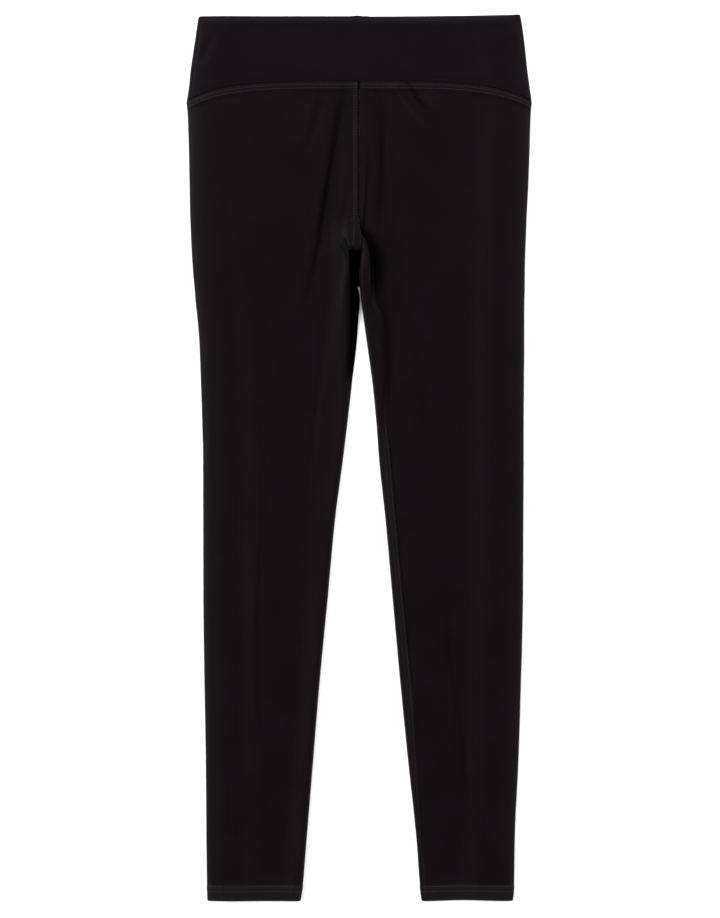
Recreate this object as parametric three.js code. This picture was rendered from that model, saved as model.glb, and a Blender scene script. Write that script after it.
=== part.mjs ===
// Full-length leggings in a stretch knit, lying flat on their back with the front up.
// Millimetres. X runs to the viewer's right, Y from hem to waist, Z up from the surface they lie on.
// Every piece is a wall of cloth, 0.3 mm from its neighbour at each seam: a front and a back
// waistband, two one-piece legs that wrap from the front seam round the outer fold to the back
// seam, and the small crotch gusset that turns under between the thighs.
import * as THREE from "three";

// Driving sizes
const LENGTH = 960;
const LEG_CLOTH = 1.1;
const HEM_CLOTH = 2;
const HEM_DEPTH = 15;
const BAND_CLOTH = 2.2;
const EDGE_ROUND = 0.45;
const SEAM_GAP = 0.3;
const HALF_GAP = SEAM_GAP / 2;
const BAND_SIDE_DEPTH = 92.5;
const WAIST_Y = LENGTH / 2 - 1;
const SEAM_SHIFT_ENDS = 170;
const BAND_SIDE_HALF = 187.3;
const BAND_MIDDLE = 5.4;
const BAND_RIM = 7.6;
const SIDE_SEAM_IN = 3.2;
const OUTER_ROUND = 4.5;
const HEM_PULL = 1.2;
const HEM_INNER = 68;
const HEM_OUTER = 167;
const LEG_COLUMNS = { upper: 17, fold: 5, lower: 9 };
const BAND_COLUMNS = { front: 27, back: 25 };
const GUSSET_COLUMNS = 3;
const BACK_SEAM_IN = 11;
const CLOSING_START = 286;
const CLOSING_END = 297;
const TUBE_START = 303;
const STRIP_MARGIN = 8;
const CREASED_WIDTH = 58;
const CURVED_WIDTH = 55;
const FOLD_POINTS = 24;
const PANEL_POINTS = 300;
const FLAT_POINTS = 80;
const STEP = {
  innerFold: 1.6,
  strip: 3.4,
  creased: 7,
  curved: 12,
  plain: 24,
  outerFold: 2.4,
  flat: 45,
  band: 24,
  bandFold: 2.2,
  bandEdge: 2,
};
const CLOTH_COLOUR = 0x18141a;

// A table keeps its rows under named columns and is read by a smooth curve through them.
function table(names, rows) {
  const columns = {};
  names.split(" ").forEach((name, i) => { columns[name] = rows.map((row) => row[i]); });
  return columns;
}

function slopes(x, y) {
  const steps = x.slice(1).map((value, i) => (y[i + 1] - y[i]) / (value - x[i]));
  return x.map((_, i) => {
    if (i === 0) return steps[0];
    if (i === x.length - 1) return steps[i - 1];
    const before = steps[i - 1];
    const after = steps[i];
    return before * after <= 0 ? 0 : (2 * before * after) / (before + after);
  });
}

function read(columns, name, at) {
  const x = columns.down;
  const y = columns[name];
  if (at <= x[0]) return y[0];
  if (at >= x[x.length - 1]) return y[y.length - 1];
  const i = x.findIndex((value) => value > at) - 1;
  const step = x[i + 1] - x[i];
  const t = (at - x[i]) / step;
  const slope = slopes(x, y);
  const start = y[i] * (1 + 2 * t) * (1 - t) ** 2 + slope[i] * step * t * (1 - t) ** 2;
  const end = y[i + 1] * t * t * (3 - 2 * t) + slope[i + 1] * step * t * t * (t - 1);
  return start + end;
}

const soften = (t) => {
  const s = Math.min(Math.max(t, 0), 1);
  return s * s * (3 - 2 * s);
};
const radians = THREE.MathUtils.degToRad;
const mix = (a, b, t) => a + (b - a) * t;
const spaced = (from, to, count) => Array.from({ length: count + 1 }, (_, i) => mix(from, to, i / count));

// Outlines. Down is measured from the waist edge, out from the centre line.
const BAND_EDGE = table("down left right", [
  [-2, 173.6, 173.9],
  [0, 174.0, 174.5],
  [26, 177.9, 178.7],
  [58.6, 182.7, 182.3],
  [80.3, 185.1, 185.3],
  [92.5, 187.2, 187.2],
]);

// The inner column is the edge of the cloth at the front seam, then at the gusset, then the fold
// of the inner leg. Round is how far in that fold turns over.
const RIGHT_EDGE = table("down outer inner round", [
  [92.5, 187.5, 0.15, 0],
  [102, 186.4, 0.15, 0],
  [134, 185.2, 0.15, 0],
  [178, 184.2, 0.15, 0],
  [215, 183.5, 0.15, 0],
  [217, 183.4, 0.5, 0],
  [226, 183.1, 5.5, 0],
  [240, 182.5, 7.0, 0],
  [250, 182.0, 7.3, 0],
  [256, 181.7, 8.5, 0],
  [262, 181.4, 8.3, 0],
  [275, 180.5, 6.0, 0],
  [285, 179.7, 3.9, 0],
  [294, 178.8, 1.7, 1.3],
  [300, 178.3, 0.2, 1.8],
  [308, 177.7, -0.8, 1.8],
  [325, 175.9, 0.4, 1.6],
  [351, 173.6, 2.3, 1.6],
  [400, 171.7, 8.0, 1.7],
  [440, 170.4, 12.5, 2.6],
  [482, 169.4, 17.7, 3.6],
  [547, 169.3, 26.2, 3.8],
  [633, 169.1, 34.2, 3.8],
  [720, 168.0, 42.6, 3.8],
  [807, 166.5, 49.8, 3.8],
  [894, 165.8, 57.0, 3.8],
  [944, 165.2, 61.2, 3.6],
  [960, 164.8, 63.4, 3.4],
]);

const LEFT_EDGE = table("down outer inner round", [
  [92.5, 187.5, 0.15, 0],
  [102, 186.4, 0.15, 0],
  [134, 185.3, 0.15, 0],
  [178, 183.8, 0.15, 0],
  [215, 181.9, 0.15, 0],
  [217, 181.8, 0.5, 0],
  [226, 181.5, 0.9, 0],
  [240, 181.0, 1.8, 1.6],
  [252, 180.5, 2.6, 3.2],
  [260, 180.2, 1.9, 4.3],
  [269, 180.0, 0.9, 4.5],
  [281, 179.8, -0.2, 4.5],
  [294, 179.7, 0.5, 4.5],
  [300, 179.6, 1.1, 4.5],
  [308, 179.4, 1.9, 4.4],
  [325, 179.2, 4.3, 4.2],
  [351, 179.2, 7.9, 4.0],
  [400, 178.9, 14.6, 3.8],
  [440, 178.6, 18.6, 3.8],
  [482, 178.6, 21.7, 3.8],
  [547, 178.2, 28.6, 3.8],
  [633, 177.8, 36.4, 3.8],
  [720, 175.7, 44.3, 3.8],
  [807, 172.9, 53.0, 3.8],
  [894, 168.9, 62.2, 3.8],
  [944, 168.2, 66.0, 3.6],
  [960, 166.9, 67.6, 3.4],
]);

// Where the lower layer ends towards the centre, and how far round the inner fold each edge is
// cut, in degrees from its top. Seam is the share of the way that the joined edge has gone from
// the crotch to the inseam's line.
const RIGHT_CUT = table("down lower front back seam", [
  [92.5, 0.15, 0, 180, 0],
  [238, 0.15, 0, 180, 0],
  [241, 0.5, 0, 180, 0],
  [255, 4.0, 0, 180, 0],
  [270, 5.5, 0, 180, 0],
  [285, 5.3, 0, 180, 0],
  [292, 3.5, 20, 176, 0],
  [297, 2.4, 120, 138, 0],
  [303, 1.5, 130, 130, 0.05],
  [350, 4, 130, 130, 1],
  [960, 67, 130, 130, 1],
]);

const LEFT_CUT = table("down lower front back seam", [
  [92.5, 0.15, 0, 180, 0],
  [226, 0.15, 0, 180, 0],
  [238, 0.15, 12, 180, 0],
  [241, 0.5, 25, 180, 0],
  [252, 3.5, 80, 180, 0],
  [258, 4.4, 122, 180, 0],
  [270, 5.6, 128, 180, 0],
  [285, 5.3, 128, 180, 0],
  [292, 5.0, 128, 176, 0],
  [297, 5.2, 128, 140, 0],
  [303, 5.8, 130, 130, 0.05],
  [330, 8.6, 130, 130, 1],
  [960, 71, 130, 130, 1],
]);

// Heights of the upper layer. The strip beside the inner fold has its own level up to its edge:
// on the right leg a low ledge of the back cloth, on the left leg the back cloth rolled forward.
const RIGHT_HEIGHT = table("down middle rim outerRim edge level", [
  [92.5, 5.2, 5.2, 7.4, -4, 5.2],
  [150, 4.6, 5.6, 7.0, -4, 5.6],
  [215, 4.4, 6.2, 7.0, -4, 6.2],
  [240, 4.4, 8.2, 7.0, 3.0, 8.2],
  [248, 4.4, 8.6, 7.0, 4.0, 5.0],
  [256, 4.4, 8.0, 7.0, 10.2, 3.2],
  [280, 4.3, 7.4, 7.0, 9.4, 3.5],
  [308, 4.2, 7.0, 7.0, 8.8, 3.7],
  [351, 4.0, 6.8, 7.0, 9.2, 3.4],
  [385, 3.8, 6.6, 7.0, 10.6, 3.2],
  [416, 3.6, 6.4, 7.0, 11.6, 3.8],
  [440, 3.5, 6.2, 7.0, 9.0, 5.0],
  [482, 3.4, 6.2, 7.0, 12.0, 6.0],
  [930, 3.4, 6.0, 6.6, 50.0, 6.0],
  [948, 4.7, 6.2, 6.6, 50.0, 6.0],
  [960, 4.7, 6.2, 6.6, 50.0, 6.0],
]);

const LEFT_HEIGHT = table("down middle rim outerRim edge level", [
  [92.5, 5.2, 5.2, 7.4, -4, 5.2],
  [150, 4.6, 5.4, 7.0, -4, 5.4],
  [215, 4.4, 6.0, 7.0, -4, 6.0],
  [230, 4.4, 6.2, 7.0, -2, 6.8],
  [240, 4.3, 3.6, 7.0, 7.0, 8.8],
  [248, 4.3, 3.2, 7.0, 10.0, 10.4],
  [256, 4.3, 3.0, 7.0, 12.0, 11.2],
  [270, 4.3, 3.0, 7.0, 13.2, 11.6],
  [290, 4.3, 3.0, 7.0, 13.6, 10.8],
  [308, 4.2, 3.2, 7.0, 15.0, 9.0],
  [325, 4.1, 3.4, 7.0, 22.0, 7.6],
  [351, 4.0, 3.5, 7.0, 26.6, 7.0],
  [378, 3.9, 3.6, 7.0, 29.4, 6.6],
  [405, 3.8, 3.8, 7.0, 29.0, 6.2],
  [432, 3.6, 4.0, 6.8, 27.2, 5.8],
  [471, 3.5, 4.4, 6.6, 31.5, 5.6],
  [544, 3.4, 4.4, 6.4, 37.9, 5.6],
  [633, 3.4, 4.4, 6.4, 46.0, 5.6],
  [742, 3.4, 4.4, 6.4, 56.2, 5.6],
  [809, 3.4, 4.4, 6.4, 60.4, 5.7],
  [859, 3.4, 4.4, 6.4, 64.2, 5.8],
  [930, 3.4, 4.8, 6.4, 69.0, 6.0],
  [948, 4.7, 5.2, 6.4, 70.0, 6.0],
  [960, 4.7, 5.2, 6.4, 70.0, 6.0],
]);

// Where the grids have a row. A leg has more of them at the crotch, where its form changes.
const BAND_ROWS = [0, 0.014, 0.3, 0.6, 0.85, 0.975, 1];
const LEG_ROWS = [
  92.65, 94.4, 98, 101, 106, 116, 130, 148, 166, 184, 200, 215, 218, 226, 234, 241, 247, 250.5, 253,
  255.5, 258.5, 263, 270, 280, 288, 292, 295, 298, 300.5, 303, 310, 320, 333, 350, 370, 392, 416, 440,
  475, 530, 600, 680, 760, 840, 910, 942, 947, 957.5, 959.4, 960,
];

// The gusset's line from its front point to its rear one: how far down, its height, and its share
// of the lower layer.
const GUSSET_PATH = [
  [217.8, 6.3, 0],
  [226, 7.0, 0],
  [234, 7.8, 0],
  [241, 8.5, 0],
  [247, 8.8, 0],
  [250.5, 8.2, 0],
  [252.6, 6.7, 0],
  [254.4, 4.9, 0],
  [256.5, 3.6, 0],
  [260, 3.1, 0],
  [270, 3.1, 0],
  [281, 3.1, 0],
  [290.5, 3.1, 0],
  [292.4, 2.75, 0.2],
  [293.3, 1.55, 0.5],
  [292.4, 0.35, 0.8],
  [290.5, 0, 1],
  [280, 0, 1],
  [268, 0, 1],
  [255, 0, 1],
  [242.5, 0, 1],
];
const GUSSET_CLEARANCE = 0.5;
const GUSSET_EDGE_ENDS = 292;
const GUSSET_FOLD_STARTS = 283;

const STEP_WIDTH = 4.4;
const INNER_RIM_WIDTH = 26;
const OUTER_RIM_WIDTH = 24;

// The largest folds: how much each rises or sinks, half its width, and its line as down and out.
const RIGHT_FOLDS = [
  {
    name: "main crease",
    rise: -1.6,
    half: 7,
    line: [[84, 17], [153, 29.4], [197, 36.3], [266, 46], [326, 58]],
  },
  { name: "ridge by the seam", rise: 1.3, half: 9, line: [[90, 7], [153, 15], [210, 23], [290, 33]] },
  { name: "second crease", rise: -0.7, half: 6, line: [[92, 41], [150, 59]] },
  { name: "thigh ridge", rise: 1.0, half: 8, line: [[285, 23], [345, 26], [410, 33], [541, 46], [640, 54]] },
  { name: "knee crease", rise: -0.6, half: 9, line: [[430, 102], [580, 107], [700, 114], [825, 106]] },
];
const LEFT_FOLDS = [
  { name: "crotch trough", rise: -1.4, half: 8, line: [[98, 15], [137, 24], [185, 24], [238, 17]] },
  { name: "seam wedge", rise: -1.1, half: 3, line: [[150, 8.8], [186, 7.6], [236, 3.4]] },
  { name: "waist crease", rise: -0.9, half: 7, line: [[76, 38], [95, 53], [124, 84]] },
  { name: "shin dip", rise: -0.6, half: 12, line: [[600, 90], [700, 97], [787, 114], [890, 122]] },
];

const FOLDS_BY_LEG = { right: RIGHT_FOLDS, left: LEFT_FOLDS };
for (const fold of [...RIGHT_FOLDS, ...LEFT_FOLDS]) fold.path = table("down out", fold.line);

// A fold is a soft trough or ridge across its line, and fades in and out along it.
function foldHeight(folds, out, down) {
  return folds.reduce((sum, { rise, half, path }) => {
    const first = path.down[0];
    const last = path.down[path.down.length - 1];
    if (down <= first || down >= last) return sum;
    const along = (down - first) / (last - first);
    const across = (out - read(path, "out", down)) / half;
    return sum + rise * Math.sin(Math.PI * along) ** 0.7 * Math.exp(-across * across);
  }, 0);
}

// The waist seam dips at the side folds: higher in the middle of the front than of the back.
function seamArch(share, layer) {
  const s = Math.min(Math.abs(share), 1);
  return layer === "front"
    ? BAND_SIDE_DEPTH - 21.7 + 3.3 * s ** 2 + 18.4 * s ** 5
    : BAND_SIDE_DEPTH - 14.5 + 6 * s ** 2 + 8.5 * s ** 4;
}

const waistLine = (x) => (x > 0 ? -2 * (x / 174) ** 2 : 0);

// Rows of a leg start on the arched seam and straighten out over the hip.
function downAt(row, out, outer, layer) {
  const fade = 1 - soften((row - BAND_SIDE_DEPTH) / (SEAM_SHIFT_ENDS - BAND_SIDE_DEPTH));
  return row + (seamArch(out / outer, layer) - BAND_SIDE_DEPTH) * fade;
}

const LEGS = {
  right: { side: -1, edge: RIGHT_EDGE, cut: RIGHT_CUT, height: RIGHT_HEIGHT },
  left: { side: 1, edge: LEFT_EDGE, cut: LEFT_CUT, height: LEFT_HEIGHT },
};

// Height of a leg's upper layer: a soft rim at each fold, the strip by the inner fold, the largest
// folds, and the low ridge where the seam allowance lies under the cloth below the waist seam.
function legHeight(name, out, down, row) {
  const { edge, height } = LEGS[name];
  const outer = read(edge, "outer", row);
  const inner = read(edge, "inner", row);
  const stripEdge = read(height, "edge", row);
  const level = read(height, "level", row);
  const middle = read(height, "middle", row);
  const fromStrip = out - Math.max(stripEdge, inner);
  const fromOuter = outer - OUTER_ROUND - out;
  const innerRim = (read(height, "rim", row) - middle) * (1 - soften(fromStrip / INNER_RIM_WIDTH));
  const outerRim = (read(height, "outerRim", row) - middle) * (1 - soften(fromOuter / OUTER_RIM_WIDTH));
  const panel = middle + innerRim + outerRim + foldHeight(FOLDS_BY_LEG[name], out, down);
  const onPanel = soften((out - stripEdge) / STEP_WIDTH + 0.5);
  const belowSeam = down - seamArch(out / outer, "front");
  const allowance = 0.5 * soften(belowSeam / 2) * (1 - soften((belowSeam - 6) / 4));
  return mix(level, panel, onPanel) + allowance;
}

// A turn over an inner fold: how far out and how high, by the angle from its top.
const onFold = (inner, round, height, turn) => ({
  out: inner + round * (1 - Math.sin(turn)),
  height: (height / 2) * (1 + Math.cos(turn)),
  arc: true,
});

// The points round a leg at one row, from its front edge over the top, round the outer fold, back
// along the flat underside, and once the leg is a tube round the inner fold to its back edge.
// Step is the spacing that the grid wants there.
function legSection(name, row) {
  const { edge, cut, height } = LEGS[name];
  const outer = read(edge, "outer", row);
  const inner = read(edge, "inner", row);
  const round = read(edge, "round", row);
  const closing = soften((row - CLOSING_START) / (CLOSING_END - CLOSING_START));
  const lower = mix(read(cut, "lower", row), inner + round, closing);
  const topStart = inner + round;
  const outerStart = outer - OUTER_ROUND;
  const stripEnd = read(height, "edge", row) + STRIP_MARGIN;
  const z = (out) => legHeight(name, out, downAt(row, out, outer, "front"), row);
  const points = [];
  const add = (point, step, layer) => points.push({ ...point, step, layer });
  if (round > 0.01) {
    for (const turn of spaced(radians(read(cut, "front", row)), 0, 2 * FOLD_POINTS).slice(0, -1)) {
      add(onFold(inner, round, z(topStart), turn), STEP.innerFold, "front");
    }
  }
  for (const out of spaced(topStart, outerStart, PANEL_POINTS)) {
    const creased = out < topStart + CREASED_WIDTH || out > outerStart - STRIP_MARGIN;
    const plain = out > outerStart - CURVED_WIDTH ? STEP.curved : STEP.plain;
    add({ out, height: z(out) }, out < stripEnd ? STEP.strip : creased ? STEP.creased : plain, "front");
  }
  for (const turn of spaced(0, Math.PI, 2 * FOLD_POINTS).slice(1)) {
    const out = outerStart + OUTER_ROUND * Math.sin(turn);
    const layer = turn < Math.PI / 2 ? "front" : "back";
    const turned = { out, height: (z(outerStart) / 2) * (1 + Math.cos(turn)), fold: true, arc: true };
    add(turned, STEP.outerFold, layer);
  }
  const under = spaced(outerStart, lower, FLAT_POINTS).slice(1);
  for (const out of under) add({ out, height: 0 }, STEP.flat, "back");
  if (closing > 0) {
    for (const turn of spaced(Math.PI, radians(read(cut, "back", row)), 2 * FOLD_POINTS).slice(1)) {
      add(onFold(inner, lower - inner, z(topStart), turn), STEP.innerFold, "back");
    }
  }
  return { points, outer };
}

const distance = (p, q) => Math.hypot(q.out - p.out, q.height - p.height);
const between = (p, q, t) => ({
  ...(t < 0.5 ? p : q),
  out: mix(p.out, q.out, t),
  height: mix(p.height, q.height, t),
});

// The stretch of a line of points from one length along it to another.
function stretch(points, from, to) {
  const kept = [];
  let length = 0;
  points.slice(1).forEach((q, i) => {
    const p = points[i];
    const step = distance(p, q);
    if (step > 0) {
      if (length <= from && length + step > from) kept.push(between(p, q, (from - length) / step));
      if (length + step > from && length + step < to) kept.push(q);
      if (length < to && length + step >= to) kept.push(between(p, q, (to - length) / step));
    }
    length += step;
  });
  return kept;
}

const lengthOf = (points) => points.slice(1).reduce((sum, q, i) => sum + distance(points[i], q), 0);

// A closed section is opened at the inseam. On the left leg it lies on the front, at the foot of
// the strip that is rolled forward, and on the right leg underneath, in from the inner fold.
// Share is how much of the way from the crotch to that line the seam has gone.
function openAtSeam(name, row, section) {
  const { edge, cut, height } = LEGS[name];
  const { points, outer } = section;
  const length = lengthOf(points);
  const share = read(cut, "seam", row);
  const onFront = read(height, "edge", row) + STEP_WIDTH / 2;
  const onBack = read(edge, "inner", row) + BACK_SEAM_IN;
  const onTop = points.findIndex((p) => p.layer === "front" && !p.fold && p.out >= onFront);
  const below = points.length - 1 - [...points].reverse().findIndex((p) => p.height === 0 && p.out >= onBack);
  const shift = name === "left"
    ? share * lengthOf(points.slice(0, onTop + 1))
    : length - share * lengthOf(points.slice(below));
  const turned = [...stretch(points, shift, length), ...(shift > 0 ? stretch(points, 0, shift) : [])];
  return { points: stretch(turned, HALF_GAP, length - HALF_GAP), outer };
}

// A point on a turned fold keeps its neighbours on the fine line, for the direction it faces.
const facing = (before, point, after) => ({ ...point, previous: before, next: after });

// Spreads points over a stretch by the spacing that each part of it wants.
function spread(points, count) {
  const cost = [0];
  points.slice(1).forEach((q, i) => cost.push(cost[i] + distance(points[i], q) / q.step));
  return spaced(0, cost[cost.length - 1], count).map((target, column) => {
    const end = points.length - 1;
    if (column === 0) return facing(points[0], points[0], points[1]);
    if (column === count) return facing(points[end - 1], points[end], points[end]);
    const i = cost.findIndex((value) => value >= target);
    const [p, q] = [points[i - 1], points[i]];
    const point = between(p, q, (target - cost[i - 1]) / (cost[i] - cost[i - 1]));
    return p.arc && q.arc ? facing(p, point, q) : point;
  });
}

// The upper layer, the outer fold and the lower layer of a leg each keep their number of columns.
function legColumns(points) {
  const first = points.findIndex((p) => p.fold);
  const last = points.length - 1 - [...points].reverse().findIndex((p) => p.fold);
  const upper = spread(points.slice(0, first + 1), LEG_COLUMNS.upper).slice(0, -1);
  const fold = spread(points.slice(first, last + 1), LEG_COLUMNS.fold).slice(1, -1);
  const lower = spread(points.slice(last), LEG_COLUMNS.lower).slice(1);
  const anchor = (i) => facing(points[i - 1], points[i], points[i + 1]);
  return [...upper, anchor(first), ...fold, anchor(last), ...lower];
}

// One row of a wall: the outward direction at each point, then its skin and its lining.
function wallRow(points, skin, lining, place) {
  return points.map((point, i) => {
    const before = point.previous ?? points[i - 1] ?? point;
    const after = point.next ?? points[i + 1] ?? point;
    const span = distance(before, after);
    const outward = { out: -(after.height - before.height) / span, height: (after.out - before.out) / span };
    return [skin, lining].map((depth) => place({
      ...point,
      out: point.out - outward.out * depth,
      height: Math.max(point.height - outward.height * depth, 0),
    }));
  });
}

// A closed wall from its rows, with a rim along each of its four edges.
function wall(name, rows, flipped) {
  const count = rows[0].length;
  const last = rows.length - 1;
  const positions = rows.flat(2).flatMap((p) => [p.x, p.y, p.z]);
  const at = (row, column, face) => (row * count + column) * 2 + face;
  const faces = [];
  const quad = (a, b, c, d) => faces.push(...(flipped ? [a, c, b, a, d, c] : [a, b, c, a, c, d]));
  for (let row = 0; row < last; row += 1) {
    for (let column = 0; column < count - 1; column += 1) {
      quad(at(row, column, 0), at(row + 1, column, 0), at(row + 1, column + 1, 0), at(row, column + 1, 0));
      quad(at(row, column, 1), at(row, column + 1, 1), at(row + 1, column + 1, 1), at(row + 1, column, 1));
    }
    quad(at(row, 0, 0), at(row, 0, 1), at(row + 1, 0, 1), at(row + 1, 0, 0));
    quad(at(row, count - 1, 0), at(row + 1, count - 1, 0), at(row + 1, count - 1, 1), at(row, count - 1, 1));
  }
  for (let column = 0; column < count - 1; column += 1) {
    quad(at(0, column, 0), at(0, column + 1, 0), at(0, column + 1, 1), at(0, column, 1));
    quad(at(last, column, 0), at(last, column, 1), at(last, column + 1, 1), at(last, column + 1, 0));
  }
  const geometry = new THREE.BufferGeometry();
  geometry.setAttribute("position", new THREE.Float32BufferAttribute(positions, 3));
  geometry.setIndex(faces);
  geometry.computeVertexNormals();
  const material = new THREE.MeshStandardMaterial({ color: CLOTH_COLOUR, roughness: 0.85, metalness: 0 });
  const mesh = new THREE.Mesh(geometry, material);
  mesh.name = name;
  return mesh;
}

// A leg runs from the waist seam to the turned-up hem, whose wall is thicker and ends in a roll.
function leg(name) {
  const { side } = LEGS[name];
  const rows = LEG_ROWS.map((row) => {
    const section = legSection(name, row);
    const { points, outer } = row < TUBE_START ? section : openAtSeam(name, row, section);
    const rolled = row === LEG_ROWS[0] || row === LENGTH ? EDGE_ROUND : 0;
    const cloth = mix(LEG_CLOTH, HEM_CLOTH, soften((row - (LENGTH - HEM_DEPTH)) / 2));
    const place = (p) => ({
      x: side * p.out,
      y: WAIST_Y - downAt(row, p.out, outer, p.layer) + hemPull(name, row, p.out),
      z: p.height,
    });
    return wallRow(legColumns(points), rolled, cloth - rolled, place);
  });
  return wall(`${name}_leg`, rows, side < 0);
}

// The left hem is pulled up a little in its middle.
function hemPull(name, row, out) {
  const across = Math.min(Math.max((out - HEM_INNER) / (HEM_OUTER - HEM_INNER), 0), 1);
  const fade = soften((row - LENGTH + 4 * HEM_DEPTH) / (3.8 * HEM_DEPTH));
  return name === "left" ? HEM_PULL * Math.sin(Math.PI * across) ** 2 * fade : 0;
}

// The waistband is a flat tube. The back band wraps round both side folds, and the front band
// lies between its edges.
function bandSection(piece, row) {
  const left = read(BAND_EDGE, "left", row);
  const right = read(BAND_EDGE, "right", row);
  const fold = (edge, sign, turn) => ({
    out: sign * (edge - OUTER_ROUND + OUTER_ROUND * Math.sin(turn)),
    height: (BAND_RIM / 2) * (1 + Math.cos(turn)),
    layer: turn < Math.PI / 2 ? "front" : "back",
  });
  const seamTurn = Math.asin(1 - SIDE_SEAM_IN / OUTER_ROUND);
  const gapTurn = (2 * HALF_GAP) / BAND_RIM;
  const top = (out) => {
    const fromEdge = Math.min(out + left, right - out) - OUTER_ROUND;
    return mix(BAND_RIM, BAND_MIDDLE, soften(fromEdge / OUTER_RIM_WIDTH));
  };
  if (piece === "front") {
    const turn = seamTurn - gapTurn;
    const start = -(left - OUTER_ROUND);
    const end = right - OUTER_ROUND;
    const turned = (edge, sign) => (t) => ({ ...fold(edge, sign, t), step: STEP.bandEdge });
    return [
      ...spaced(turn, 0, FOLD_POINTS).slice(0, -1).map(turned(left, -1)),
      ...spaced(start, end, PANEL_POINTS).map((out) => {
        const fromEnd = Math.min(out - start, end - out);
        const plain = fromEnd < CURVED_WIDTH ? STEP.curved : STEP.plain;
        return { out, height: top(out), layer: "front", step: fromEnd < STRIP_MARGIN ? STEP.creased : plain };
      }),
      ...spaced(0, turn, FOLD_POINTS).slice(1).map(turned(right, 1)),
    ];
  }
  const start = seamTurn + gapTurn;
  const turned = (edge, sign) => (t) => ({ ...fold(edge, sign, t), step: STEP.bandFold });
  return [
    ...spaced(start, Math.PI, 3 * FOLD_POINTS).map(turned(right, 1)),
    ...spaced(right - OUTER_ROUND, -(left - OUTER_ROUND), FLAT_POINTS).slice(1, -1)
      .map((out) => ({ out, height: 0, layer: "back", step: STEP.band })),
    ...spaced(Math.PI, start, 3 * FOLD_POINTS).map(turned(left, -1)),
  ];
}

function band(piece, columns) {
  const rows = BAND_ROWS.map((share, i) => {
    const rolled = i === 0 || i === BAND_ROWS.length - 1 ? EDGE_ROUND : 0;
    const points = bandSection(piece, share * BAND_SIDE_DEPTH);
    const place = (p) => {
      const top = waistLine(p.out);
      const bottom = seamArch(p.out / BAND_SIDE_HALF, p.layer) - HALF_GAP;
      return { x: p.out, y: WAIST_Y - mix(top, bottom, share), z: p.height };
    };
    return wallRow(spread(points, columns), rolled, BAND_CLOTH - rolled, place);
  });
  return wall(`waistband_${piece}`, rows, false);
}

// How far out from the centre line the gusset reaches on one side: up to the leg's first point on
// the upper layer, and up to where the leg's lower layer ends on the lower one.
function gussetReach(name, down, share) {
  const { points } = legSection(name, Math.min(down, GUSSET_EDGE_ENDS));
  const upper = points[0].out - GUSSET_CLEARANCE;
  const lower = points[points.length - 1].out - SEAM_GAP;
  const atFold = soften((down - GUSSET_FOLD_STARTS) / (GUSSET_EDGE_ENDS - GUSSET_FOLD_STARTS));
  return mix(upper, lower, share * (1 - atFold)) - 2 * GUSSET_CLEARANCE * atFold;
}

// The gusset is a narrow ribbon: its front point lies between the legs, it drops over the end of
// the front into the hollow between the thighs, folds at the lowest point of the crotch and runs
// back under to its rear point.
function gusset() {
  const rows = GUSSET_PATH.map(([down, height, share], i) => {
    const before = GUSSET_PATH[Math.max(i - 1, 0)];
    const after = GUSSET_PATH[Math.min(i + 1, GUSSET_PATH.length - 1)];
    const run = after[0] - before[0];
    const rise = after[1] - before[1];
    const span = Math.hypot(run, rise);
    const reach = [-gussetReach("right", down, share), gussetReach("left", down, share)];
    return spaced(...reach, GUSSET_COLUMNS).map((x) => [0, LEG_CLOTH].map((depth) => ({
      x,
      y: WAIST_Y - down - (rise / span) * depth,
      z: Math.max(height - (run / span) * depth, 0),
    })));
  });
  return wall("crotch_gusset", rows, false);
}

const leggings = new THREE.Group();
leggings.name = "leggings";
for (const [piece, columns] of Object.entries(BAND_COLUMNS)) leggings.add(band(piece, columns));
leggings.add(leg("right"), leg("left"), gusset());
export default leggings;
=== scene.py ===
# %% [markdown]
# # Black leggings lying flat
# The object is a pair of full-length leggings in a fine stretch knit, laid on its back with the front
# up. It is sewn from a front and a back waistband, two one-piece legs and a small crotch gusset.
# The frame gives every piece its place and size. This lesson gives each one a thin wall of cloth with
# its creases, its sewing and its finish. All lengths are millimetres until a mesh is made.

# %% Load the frame
import math

import bpy
import numpy as np
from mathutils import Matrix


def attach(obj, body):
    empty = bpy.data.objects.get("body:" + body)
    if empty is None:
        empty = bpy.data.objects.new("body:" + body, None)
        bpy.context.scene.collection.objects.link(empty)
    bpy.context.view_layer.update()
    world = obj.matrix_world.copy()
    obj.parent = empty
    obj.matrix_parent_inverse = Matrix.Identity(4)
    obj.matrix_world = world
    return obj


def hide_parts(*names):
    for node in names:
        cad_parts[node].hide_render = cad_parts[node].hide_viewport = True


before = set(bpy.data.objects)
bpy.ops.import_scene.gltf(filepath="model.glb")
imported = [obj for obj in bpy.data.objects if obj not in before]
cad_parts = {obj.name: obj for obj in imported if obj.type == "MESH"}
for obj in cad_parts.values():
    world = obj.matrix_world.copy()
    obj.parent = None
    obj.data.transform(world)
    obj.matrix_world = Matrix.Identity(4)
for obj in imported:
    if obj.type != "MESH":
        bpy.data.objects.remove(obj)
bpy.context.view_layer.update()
print("frame:", sorted(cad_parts))

# %% [markdown]
# ## Driving sizes
# Mostly the sizes that the solids are made from: the length from waist to hem, the thickness of the
# cloth, and where the waist seam lies. The wide soft shoulder and the closed waist seam are this
# lesson's own. Down is measured from the waist edge and out from the middle.

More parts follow.
